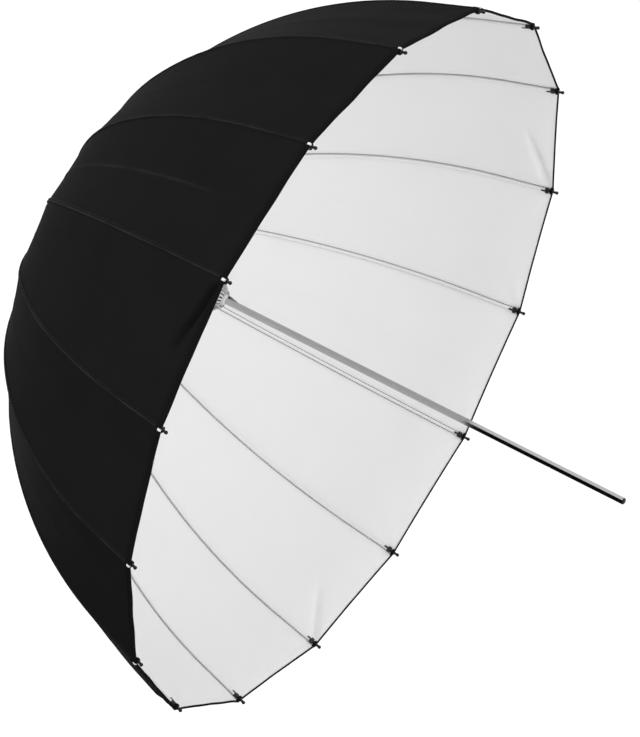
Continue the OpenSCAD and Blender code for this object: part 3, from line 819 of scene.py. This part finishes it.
@cache
def rod_tree():
    """Sweeps a round rod along an edge line, and notes how far along and around each point is."""
    tree, given = new_tree("rod_sweep", Rod_radius="Float", Sides="Int", Finish="Material")
    line = add(tree, "GeometryNodeMeshToCurve", {"Mesh": given["Geometry"]})
    ring = add(tree, "GeometryNodeCurvePrimitiveCircle",
               {"Resolution": given["Sides"], "Radius": given["Rod radius"]})
    parameter = add(tree, "GeometryNodeSplineParameter")
    noted = []
    for curve, socket, name in ((line, "Length", "run"), (ring, "Factor", "around")):
        note = add(tree, "GeometryNodeCaptureAttribute", {0: curve.outputs[0]})
        note.capture_items.new("FLOAT", name)
        tree.links.new(parameter.outputs[socket], note.inputs[1])
        noted.append(note)
    stored = add(tree, "GeometryNodeCurveToMesh",
                 {"Curve": noted[0].outputs[0], "Profile Curve": noted[1].outputs[0],
                  "Fill Caps": True})
    for note, name in zip(noted, ("run", "around")):
        stored = add(tree, "GeometryNodeStoreNamedAttribute",
                     {"Geometry": stored.outputs[0], "Name": name, "Value": note.outputs[1]})
    close_tree(tree, stored.outputs[0], given["Finish"])
    return tree


@cache
def stitch_tree():
    """Lays stitches end to end along an edge line."""
    tree, given = new_tree("stitch_row", Pitch="Float", Stitch_length="Float",
                           Thread_radius="Float", Thread="Material")
    line = add(tree, "GeometryNodeMeshToCurve", {"Mesh": given["Geometry"]})
    spots = add(tree, "GeometryNodeCurveToPoints",
                {"Curve": line.outputs[0], "Length": given["Pitch"]}, mode="LENGTH")
    lie = add(tree, "FunctionNodeAlignRotationToVector", {"Vector": spots.outputs["Tangent"]},
              axis="Z")
    half = add(tree, "ShaderNodeMath", {0: given["Stitch length"], 1: 0.5}, operation="MULTIPLY")
    size = add(tree, "ShaderNodeCombineXYZ",
               {"X": given["Thread radius"], "Y": given["Thread radius"], "Z": half.outputs[0]})
    thread = add(tree, "GeometryNodeMeshUVSphere", {"Segments": 6, "Rings": 4, "Radius": 1.0})
    stitches = add(tree, "GeometryNodeInstanceOnPoints",
                   {"Points": spots.outputs["Points"], "Instance": thread.outputs["Mesh"],
                    "Rotation": lie.outputs[0], "Scale": size.outputs[0]})
    close_tree(tree, stitches.outputs[0], given["Thread"])
    return tree


def grown(name, lines, tree, values):
    """A plain mesh object that a tree makes from lines of points, with its inputs set by name."""
    points = [tuple(p) for line in lines for p in line]
    edges, start = [], 0
    for line in lines:
        edges += [(start + i, start + i + 1) for i in range(len(line) - 1)]
        start += len(line)
    guide = bpy.data.meshes.new(name + "_guide")
    guide.from_pydata(points, edges, [])
    made = bpy.data.objects.new(name, guide)
    bpy.context.scene.collection.objects.link(made)
    modifier = made.modifiers.new("shape", "NODES")
    modifier.node_group = tree
    for socket in tree.interface.items_tree:
        if socket.in_out == "INPUT" and socket.name in values:
            modifier[socket.identifier] = values[socket.name]
    bpy.context.view_layer.update()
    evaluated = made.evaluated_get(bpy.context.evaluated_depsgraph_get())
    mesh = bpy.data.meshes.new_from_object(evaluated)
    mesh.name = name
    made.modifiers.clear()
    made.data = mesh
    bpy.data.meshes.remove(guide)
    return made


ROD_POINTS = 121
ROD_SIDES = 20


def make_rod(rib):
    """The fibreglass rod along a rib."""
    s = np.linspace(rib.sizes.rod_start, rib.length, ROD_POINTS)
    made = grown(rib.tag("rib_rod"), [rib.in_row(*rib.point(s), np.zeros_like(s))],
                 rod_tree(), {"Rod radius": rib.sizes.rod_r, "Sides": ROD_SIDES,
                              "Finish": finish_of("rod")})
    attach(made, rib.tag("rib"))
    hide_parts(rib.tag("rib"))


class UMBRELLA_OT_rods(bpy.types.Operator):
    """Sweep the fibreglass rods along the ribs' curve"""

    bl_idname = "umbrella.rods"
    bl_label = "Rib rods"

    def execute(self, context):
        return on_each_rib(context, make_rod)


# Rows of stitches on a rib's seam, mm across it: on the cover and on the lining. Where they start
# and end along it, their points, and the share of a thread's radius by which its middle stands out
COVER_ROWS = (-1.6, -4.1)
# The lining's rows flank the rods in dark grey thread: stitching, and painted shade along the rods
LINING_SHADE_ROWS = (-2.3, 2.3)
ROW_START, ROW_END, ROW_POINTS = 6 * MM, 1.5 * MM, 200
THREAD_OUT = 0.35
# Rows of stitches on the binding: how far they run across a gore, their points, and how far inside
# the tape's edges they lie
HEM_ROW_END, HEM_ROW_POINTS = 0.985, 90
HEM_ROW_OUT, HEM_ROW_IN = 1.2 * MM, 0.7 * MM
# White whipping that ties each tip to the hem, from its edge back over the binding: the first turn,
# the number of turns, their pitch, length and thread, the line that each lies on, and how the first
# ones dip over the edge
WHIP_FIRST = 0.75 * MM
WHIP_TURNS = 7
WHIP_PITCH = 0.62 * MM
WHIP_LENGTH = 3.4 * MM
WHIP_THREAD_R = 0.42 * MM
WHIP_LINE = np.array([0, 1 * MM])
WHIP_DIP, WHIP_DIPS = 1.2 * MM, (-0.2 * MM, 0.9 * MM)


def make_threads(rib):
    """The thread of a rib's seam, of the hem beside it and of its tip."""
    sizes = rib.sizes
    s = np.linspace(sizes.cloth_start + ROW_START, rib.length - sizes.binding_out - ROW_END,
                    ROW_POINTS)
    width = rib.half_width(s)
    across = np.linspace(-HEM_ROW_END, HEM_ROW_END, HEM_ROW_POINTS)
    end = rib.hem_reach(across)
    out = THREAD_OUT * sizes.thread_r
    proud = sizes.cloth_t + sizes.seam_rise
    whip_out = sizes.cloth_drop + proud + sizes.binding_t

    def row(across, s, height):
        place, normal = cloth_face(rib, across, s)
        return place + normal * height

    def seam(aside, height):
        return row(aside * MM * narrowed(width) / width, s, height)

    dark = [seam(aside, proud + out) for aside in COVER_ROWS]
    dark.append(row(across, end - (sizes.binding_out - HEM_ROW_OUT), proud + sizes.binding_t + out))
    dark.append(row(across, end - (sizes.binding_in - HEM_ROW_IN), -sizes.binding_t - out))
    pale = [seam(aside, -out) for aside in LINING_SHADE_ROWS]
    whip = [rib.at(rib.length, along, whip_out - WHIP_DIP * smooth(*WHIP_DIPS, along), WHIP_LINE)
            for along in WHIP_FIRST - WHIP_PITCH * np.arange(WHIP_TURNS)]
    for name, lines, thread, slot, stitch_l, thread_r in (
            ("cover_thread", dark, "dark_thread", "black_fabric", sizes.stitch_l, sizes.thread_r),
            # Dark grey thread beside the rods: stitching, and painted shade along them
            ("lining_thread", pale, "grey_thread", "canopy_fabric", sizes.rod_stitch_l,
             sizes.rod_thread_r),
            ("tip_whip", whip, "pale_thread", "canopy_fabric", WHIP_LENGTH, WHIP_THREAD_R)):
        made = grown(rib.tag(name), lines, stitch_tree(),
                     {"Pitch": sizes.stitch_pitch, "Stitch length": stitch_l,
                      "Thread radius": thread_r, "Thread": finish_of(thread)})
        on_cloth(made, rib)


class UMBRELLA_OT_stitching(bpy.types.Operator):
    """Lay the thread: two rows on each seam of the cover, two on the lining, two on the hem
    and a whipping at each tip"""

    bl_idname = "umbrella.stitching"
    bl_label = "Stitching"

    def execute(self, context):
        return on_each_rib(context, make_threads)


AROUND = np.linspace(0, 2 * math.pi, 25)[:-1]
EDGE = 0.15  # bevel of a plate's edge, mm


class Shape:
    """Shells of one piece. A place function turns three distances into points of the row frame."""

    def __init__(self):
        self.points, self.faces = [], []

    def shell(self, rows, closed=False):
        start = len(self.points)
        self.points += [tuple(p) for p in rows.reshape(-1, 3)]
        self.faces += [tuple(start + v for v in f) for f in tube_faces(*rows.shape[:2], closed)]

    def turned(self, place, profile, square=1.0):
        """Rings along a line, from a distance along it and a radius, or a half height and a half
        width, mm. A small square makes the rings nearly rectangles."""
        sizes = np.array(profile).T[:, :, None] * MM
        high, wide = (np.sign(w) * np.abs(w) ** square for w in (np.cos(AROUND), np.sin(AROUND)))
        self.shell(place(sizes[0], sizes[1] * high, sizes[-1] * wide))

    def plate(self, place, sides, hole, thick):
        """A drilled plate, mm, with bevelled edges. sides gives the way from its hole's middle to
        its edge by angle."""
        turn, reach = sides
        cut = np.array([(1, 0, 0.5, -EDGE), (1, -EDGE, 0.5, 0), (0, hole, 0.5, 0),
                        (0, hole, -0.5, 0), (1, -EDGE, -0.5, 0), (1, 0, -0.5, EDGE)])
        far = (reach[:, None] * cut[:, 0] + cut[:, 1]) * MM
        high = np.broadcast_to((cut[:, 2] * thick + cut[:, 3]) * MM, far.shape)
        self.shell(place(far * np.cos(turn)[:, None], far * np.sin(turn)[:, None], high), True)

    def made(self, name, finish, body, slot):
        """The piece itself, which rides on a body."""
        made = piece(name, self.points, self.faces, [finish_of(finish)])
        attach(made, body)
        return made


def tongue(r, half_w, reach):
    """The edge of a round plate of radius r with a straight tongue, seen from its middle."""
    corners = [math.atan2(half_w, reach), math.asin(half_w / r)]
    turn = np.unique(np.concatenate([AROUND, corners, [2 * math.pi - c for c in corners]]))
    with np.errstate(divide="ignore"):
        straight = np.minimum(reach / np.maximum(np.cos(turn), 1e-9),
                              half_w / np.abs(np.sin(turn)))
    return turn, np.maximum(r, np.where(np.cos(turn) > 0, straight, 0))


def oblong(half_l, low, high):
    """The edge of an oblong plate, from low to high across, seen from a point of it."""
    corners = [math.atan2(high, half_l), math.atan2(high, -half_l),
               2 * math.pi + math.atan2(-low, -half_l), 2 * math.pi + math.atan2(-low, half_l)]
    turn = np.unique(np.concatenate([AROUND, corners]))
    with np.errstate(divide="ignore"):
        across = np.where(np.sin(turn) > 0, high, low) / np.abs(np.sin(turn))
        return turn, np.minimum(half_l / np.abs(np.cos(turn)), across)


# Fittings, mm: sleeves as distance along the rib and radius, and the plates on them
EYE_SLEEVE = ((9, 1.9), (9.3, 2.3), (17, 2.3), (17.5, 2.1), (18.5, 2.1), (19, 2.3), (25, 2.3),
              (25.5, 2.1), (26.5, 2.1), (27, 2.3), (32.7, 2.3), (33, 1.85))
CLIP_SLEEVE = ((-7, 1.9), (-6.7, 2.25), (-6.4, 2.3), (6.4, 2.3), (6.7, 2.25), (7, 1.9))
TIP_SLEEVE = ((-9.6, 1.85), (-9.3, 2.2), (-8.9, 2.3), (-3.6, 2.3), (-3.4, 2.1), (-2.9, 2.1),
              (-2.7, 2.3), (0.2, 2.3), (0.6, 2.0), (0.8, 1.5))
TIP_RINGS, TIP_POLE = 13, 0.05  # rings of the ball, and the last one's angle from its pole
TIP_TONGUE = ((-14, 0.25, 0.5), (-13.6, 0.45, 1.0), (-13, 0.5, 1.15), (-9, 0.5, 1.15))
TONGUE_OUT = -2.0
EYE = dict(sides=tongue(r=3.2, half_w=2.3, reach=10), hole=0.88, thick=2)
LUG = dict(sides=tongue(r=2.8, half_w=2.79, reach=9), hole=1.1, thick=3)
EAR = dict(sides=oblong(half_l=2, low=1.9, high=0.6), hole=0.45, thick=2.4)
EAR_PLACE = (-7, -0.325, 2.9)


def make_eye(rib):
    """The drilled eye on the crown's wire."""
    place = partial(rib.at, 0.0)
    shape = Shape()
    shape.turned(place, EYE_SLEEVE)
    shape.plate(place, **EYE)
    shape.made(rib.tag("rib_eye"), "wire", rib.tag("rib"), "spring_steel")


def make_clip(rib):
    """The clip that the strut is riveted to."""
    place = partial(rib.at, rib.sizes.clip_reach)
    drop = rib.sizes.clip_drop
    shape = Shape()
    shape.turned(place, CLIP_SLEEVE)
    shape.plate(lambda up, along, aside: place(along, up - drop, aside), **LUG)
    shape.made(rib.tag("strut_clip"), "lacquer", rib.tag("rib"), "black_steel")


def make_tip(rib):
    """The tip with its ball, and the tongue and ears that are sewn to the hem."""
    place = partial(rib.at, rib.length)
    ball, reach = rib.sizes.tip_ball_r / MM, rib.sizes.tip_reach / MM
    turn = np.linspace(math.asin(TIP_SLEEVE[-1][1] / ball), math.pi - TIP_POLE, TIP_RINGS)
    round_end = tuple((reach - ball * math.cos(a), ball * math.sin(a)) for a in turn)
    shape = Shape()
    shape.turned(place, TIP_SLEEVE + round_end)
    shape.turned(lambda along, out, aside: place(along, out + TONGUE_OUT * MM, aside), TIP_TONGUE)
    ear_along, ear_out, ear_aside = (v * MM for v in EAR_PLACE)
    for side in (-1, 1):
        shape.plate(lambda along, aside, out: place(ear_along + along, ear_out + out,
                                                    side * (ear_aside + aside)), **EAR)
    shape.made(rib.tag("rib_tip"), "dark_nylon", rib.tag("rib"), "black_plastic")


class UMBRELLA_OT_fittings(bpy.types.Operator):
    """Give each rib its drilled eye, its clip for the strut and its sewn tip"""

    bl_idname = "umbrella.fittings"
    bl_label = "Rib fittings"

    def execute(self, context):
        return on_each_rib(context, make_eye, make_clip, make_tip)


# A strut, mm: its flattened end as distance, half height and half width, its eye, and back from the
# rivet the end of its bar and the bridge of its fork; then the tines and the rivet's head
STRUT_FLAT = ((1.2, 0.9, 0.55), (1.6, 1.4, 0.65), (9, 1.4, 0.65), (12, 1.4, 1.4))
STRUT_EYE = dict(sides=(AROUND, np.full(len(AROUND), 2.2)), hole=0.68, thick=1.36)
STRUT_BAR_END = ((-13, 1.4, 1.4), (-12.4, 1.2, 1.2))
STRUT_BRIDGE = ((-15, 2.0, 2.7), (-14.6, 2.5, 3.2), (-10.4, 2.5, 3.2), (-10, 2.1, 2.8))
BRIDGE_SQUARE = 0.3
TINE = dict(sides=tongue(r=2.5, half_w=2.49, reach=11), hole=0.5, thick=1.4)
TINE_ASIDE = 2.5
RIVET_HEAD = ((3.2, 1.9), (3.55, 1.85), (3.9, 1.4), (4.1, 0.6))


def make_strut(rib):
    """A plated bar with a fork at the rib's clip, and its black eye on the runner's wire."""
    sizes = rib.sizes
    x, r = rib.point(sizes.clip_reach)
    a = rib.angle(sizes.clip_reach)
    x, r = x + sizes.clip_drop * np.sin(a), r - sizes.clip_drop * np.cos(a)
    rise = math.atan2(r - RUNNER_PIVOT_R, x - RUNNER_X)
    far = math.hypot(x - RUNNER_X, r - RUNNER_PIVOT_R)
    place = partial(rib.on_line, (RUNNER_X, RUNNER_PIVOT_R), rise)

    def from_rivet(along, out, aside):
        return place(far + along, out, aside)

    bar, eye = Shape(), Shape()
    bar_end = tuple((far / MM + along, high, wide) for along, high, wide in STRUT_BAR_END)
    bar.turned(place, STRUT_FLAT + bar_end)
    bar.turned(from_rivet, STRUT_BRIDGE, BRIDGE_SQUARE)
    for side in (-1, 1):
        bar.plate(lambda back, out, aside: from_rivet(-back, out, side * TINE_ASIDE * MM + aside),
                  **TINE)
        bar.turned(lambda aside, along, out: from_rivet(along, out, side * aside), RIVET_HEAD)
    made = bar.made(rib.tag("strut_bar"), "plate", rib.tag("strut"), "spring_steel")
    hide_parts(rib.tag("strut"))
    eye.plate(place, **STRUT_EYE)
    eye.made(rib.tag("strut_eye"), "lacquer", rib.tag("strut"), "black_steel")


class UMBRELLA_OT_struts(bpy.types.Operator):
    """Make the plated struts, with black eyes on the runner's wire and forks at the clips"""

    bl_idname = "umbrella.struts"
    bl_label = "Struts"

    def execute(self, context):
        return on_each_rib(context, make_strut)


# The rosette's play on the shaft, its points around and rows, the height of its gathers, and how
# far its rim lies forward of its middle, from a share of its radius on
ROSETTE_PLAY = 0.3 * MM
ROSETTE_POINTS, ROSETTE_ROWS = 192, 15
ROSETTE_GATHER = 0.35 * MM
ROSETTE_DISH, DISH_START = 1.9 * MM, 0.5


class UMBRELLA_OT_rosette(bpy.types.Operator):
    """Cut the cloth rosette that closes the bowl behind the crown"""

    bl_idname = "umbrella.rosette"
    bl_label = "Rosette"

    def execute(self, context):
        sizes = context.scene.umbrella_sizes
        front_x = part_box("rosette")[1].x
        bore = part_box("shaft")[1].z + ROSETTE_PLAY
        turn = np.linspace(0, 2 * math.pi, ROSETTE_POINTS + 1)[:-1]
        share = np.linspace(0, 1, ROSETTE_ROWS)[:, None]
        r = bore + (sizes.rosette_r - bore) * share
        gather = ROSETTE_GATHER * share * np.sin(sizes.rib_count * turn)
        x = front_x + ROSETTE_DISH * smooth(DISH_START, 1.0, share) + gather
        front = np.stack([x, r * np.cos(turn), r * np.sin(turn)], axis=-1).reshape(-1, 3)
        points = np.concatenate([front, front - np.array([sizes.cloth_t, 0, 0])])
        size, m = len(front), ROSETTE_POINTS
        grid = grid_faces(ROSETTE_ROWS, m, ring=True)
        rim = [(base + j, base + (j + 1) % m, size + base + (j + 1) % m, size + base + j)
               for base in (0, size - m) for j in range(m)]
        faces = grid + [tuple(size + v for v in reversed(f)) for f in grid] + rim
        made = piece("rosette_cloth", points, faces, [finish_of("cover")],
                     uv=points[:, 1:])
        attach(made, "shaft")
        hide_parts("rosette")
        return {"FINISHED"}


# Finishes of the CAD nodes that stay as they are
HARDWARE = {"shaft": "tube", "shaft_plug": "dark_nylon", "catch": "worn_lacquer",
            "catch_spring": "wire", "crown": "dark_nylon", "crown_wire": "wire",
            "crown_pin": "wire", "end_cap": "dark_nylon", "runner": "pale_nylon",
            "runner_wire": "wire"}


class UMBRELLA_OT_hardware(bpy.types.Operator):
    """Finish the shaft, crown, runner and small metal"""

    bl_idname = "umbrella.hardware"
    bl_label = "Hardware"

    def execute(self, context):
        for node, finish in HARDWARE.items():
            made = frame["nodes"][node]
            if not made.material_slots:
                made.data.materials.append(None)
            for slot in made.material_slots:
                slot.material = finish_of(finish)
        return {"FINISHED"}


SEWN_ON = ("binding", "tip_loop", "cover_thread", "lining_thread", "tip_whip")
GORE_STEPS = 200


def declare_cloth(rib):
    """Works out the width of one rib's sheet along it and looks up what is sewn on it."""
    s = np.linspace(rib.sizes.cloth_start, rib.length, GORE_STEPS)
    gore = 2 * rib.half_width(s) / math.cos(rib.half_pitch)
    sewn = [bpy.data.objects[rib.tag(name)] for name in SEWN_ON]
    bpy.data.objects[rib.tag("cloth")]
    rib.tag("rib_rod")


class UMBRELLA_OT_declare(bpy.types.Operator):
    """Work out each sheet's width along its rib and look up what is sewn on it"""

    bl_idname = "umbrella.declare"
    bl_label = "Declare cloth"

    def execute(self, context):
        return on_each_rib(context, declare_cloth)


# The camera's place and its right and down directions, in the row frame
CAMERA_PLACE = (1.3171, -4.0716, 0.6367)
CAMERA_RIGHT = (0.8276, 0.4001, 0.3937)
CAMERA_DOWN = (0.4199, 0.0243, -0.9072)
CAMERA_LENS = 195.4
CAMERA_SENSOR = 36.0
CAMERA_NEAR = 0.05
FLOOR_DROP = 0.55
FLOOR_SPAN = 60.0
FLOOR_LIFT = 0.30
# A black card, tilted on the near side of the bowl, where only gloss shows it, so that the polished
# shaft has a dark lower half: two opposite corners
CARD = ((-30, -50, 19), (3, 0.6, -0.96))
# Light on the object: even from the world, and two soft lamps, with the light of each, the
# direction that it comes from and its width: one into the bowl and one on the cover
WORLD_LIGHT = 0.68
LAMPS = (("key", 1.35, (1.0, -0.25, 0.1), math.radians(70)),
         ("side", 1.9, (-0.25, -0.9, 0.22), math.radians(40)))


class UMBRELLA_OT_stage(bpy.types.Operator):
    """Set the camera, the pale floor and the soft studio light"""

    bl_idname = "umbrella.stage"
    bl_label = "Stage"

    def execute(self, context):
        scene = context.scene
        scene.view_settings.view_transform = "Standard"
        lens = bpy.data.cameras.new("camera")
        lens.sensor_width, lens.lens = CAMERA_SENSOR, CAMERA_LENS
        lens.clip_start, lens.clip_end = CAMERA_NEAR, 2 * FLOOR_SPAN
        camera = bpy.data.objects.new("camera", lens)
        right = Vector(CAMERA_RIGHT).normalized()
        up = -Vector(CAMERA_DOWN)
        up = (up - right * up.dot(right)).normalized()
        turn = Matrix((right, up, right.cross(up))).transposed()
        camera.matrix_world = Matrix.Translation(CAMERA_PLACE) @ turn.to_4x4()
        scene.collection.objects.link(camera)
        scene.camera = camera
        for name, light, source, width in LAMPS:
            lamp = bpy.data.lights.new(name, "SUN")
            lamp.energy, lamp.angle = light, width
            hung = bpy.data.objects.new(name, lamp)
            hung.rotation_euler = Vector(source).to_track_quat("Z", "Y").to_euler()
            hung.visible_glossy = False  # the polished tube shows the plain background
            scene.collection.objects.link(hung)
        self.light_world(scene)
        self.lay_floor(scene, scene.umbrella_colours.floor)
        self.lay_card(scene, scene.umbrella_colours.cover)
        return {"FINISHED"}

    def seen(self, tree):
        """1 for rays that show the background: straight to the camera, or by gloss or glass."""
        ray = add(tree, "ShaderNodeLightPath").outputs
        either = add(tree, "ShaderNodeMath", {0: ray["Is Camera Ray"], 1: ray["Is Glossy Ray"]},
                     operation="MAXIMUM")
        return add(tree, "ShaderNodeMath", {0: either.outputs[0], 1: ray["Is Transmission Ray"]},
                   operation="MAXIMUM").outputs[0]

    def light_world(self, scene):
        world = bpy.data.worlds.new("studio")
        scene.world = world
        world.use_nodes = True
        tree = world.node_tree
        tree.nodes.clear()
        strength = add(tree, "ShaderNodeMapRange",
                       {"Value": self.seen(tree), "To Min": WORLD_LIGHT, "To Max": 1.0})
        sky = add(tree, "ShaderNodeBackground",
                  {"Color": (1, 1, 1, 1), "Strength": strength.outputs["Result"]})
        add(tree, "ShaderNodeOutputWorld", {"Surface": sky.outputs[0]})

    def lay_floor(self, scene, colour):
        # White paper sweep: matt, with a tooth of 2 mm. What the camera sees of it is lifted to
        # white.
        material, tree = new_material("white_paper")
        place = add(tree, "ShaderNodeTexCoord").outputs["Object"]
        tooth = add(tree, "ShaderNodeTexNoise", {"Vector": place, "Scale": 1 / (2 * MM)})
        bump = add(tree, "ShaderNodeBump",
                   {"Height": tooth.outputs["Fac"], "Strength": 0.05, "Distance": 0.1 * MM})
        paper = add(tree, "ShaderNodeBsdfDiffuse",
                    {"Color": list(colour), "Normal": bump.outputs["Normal"]})
        lift = add(tree, "ShaderNodeMath", {0: self.seen(tree), 1: FLOOR_LIFT},
                   operation="MULTIPLY")
        glow = add(tree, "ShaderNodeEmission", {"Strength": lift.outputs[0]})
        both = add(tree, "ShaderNodeAddShader", {0: paper.outputs[0], 1: glow.outputs[0]})
        add(tree, "ShaderNodeOutputMaterial", {"Surface": both.outputs[0]})
        level = CAD_LOW.z - FLOOR_DROP
        self.lay_sheet(scene, "floor", (-FLOOR_SPAN, -FLOOR_SPAN, level),
                       (FLOOR_SPAN, FLOOR_SPAN, level), material)

    def lay_card(self, scene, colour):
        # Black flock card: dead matt, with a nap of 1 mm.
        material, tree = new_material("black_flock")
        place = add(tree, "ShaderNodeTexCoord").outputs["Object"]
        finished(tree, shaded(tree, place, colour, 1, 0.3), Roughness=1.0, Specular_IOR_Level=0.0)
        card = self.lay_sheet(scene, "card", *CARD, material)
        card.visible_camera = card.visible_diffuse = False
        card.visible_shadow = card.visible_transmission = False

    def lay_sheet(self, scene, name, first, last, material):
        """A flat sheet of the stage between two opposite corners."""
        mesh = bpy.data.meshes.new(name)
        corners = [first, (last[0], *first[1:]), last, (first[0], *last[1:])]
        mesh.from_pydata(corners, [], [(0, 1, 2, 3)])
        mesh.materials.append(material)
        laid = bpy.data.objects.new(name, mesh)
        scene.collection.objects.link(laid)
        return laid


STEPS = (UMBRELLA_OT_stage, UMBRELLA_OT_hardware, UMBRELLA_OT_rods, UMBRELLA_OT_fittings,
         UMBRELLA_OT_struts, UMBRELLA_OT_cloth, UMBRELLA_OT_binding, UMBRELLA_OT_stitching,
         UMBRELLA_OT_rosette, UMBRELLA_OT_declare)


class UMBRELLA_PT_panel(bpy.types.Panel):
    """Lists the umbrella's pieces, sizes and colours"""

    bl_idname = "UMBRELLA_PT_panel"
    bl_label = "Deep umbrella reflector"
    bl_space_type = "VIEW_3D"
    bl_region_type = "UI"
    bl_category = "Umbrella"

    def draw(self, context):
        for step in STEPS:
            self.layout.operator(step.bl_idname)
        for group in (context.scene.umbrella_sizes, context.scene.umbrella_colours):
            for name in group.__annotations__:
                self.layout.prop(group, name)


CLASSES = (UMBRELLA_PG_sizes, UMBRELLA_PG_colours, *STEPS, UMBRELLA_PT_panel)


def register():
    for made in CLASSES:
        bpy.utils.register_class(made)
    bpy.types.Scene.umbrella_sizes = PointerProperty(type=UMBRELLA_PG_sizes)
    bpy.types.Scene.umbrella_colours = PointerProperty(type=UMBRELLA_PG_colours)


def unregister():
    del bpy.types.Scene.umbrella_colours
    del bpy.types.Scene.umbrella_sizes
    for made in reversed(CLASSES):
        bpy.utils.unregister_class(made)


def main():
    register()
    for step in STEPS:
        group, name = step.bl_idname.split(".")
        getattr(getattr(bpy.ops, group), name)()


if __name__ == "__main__":
    main()
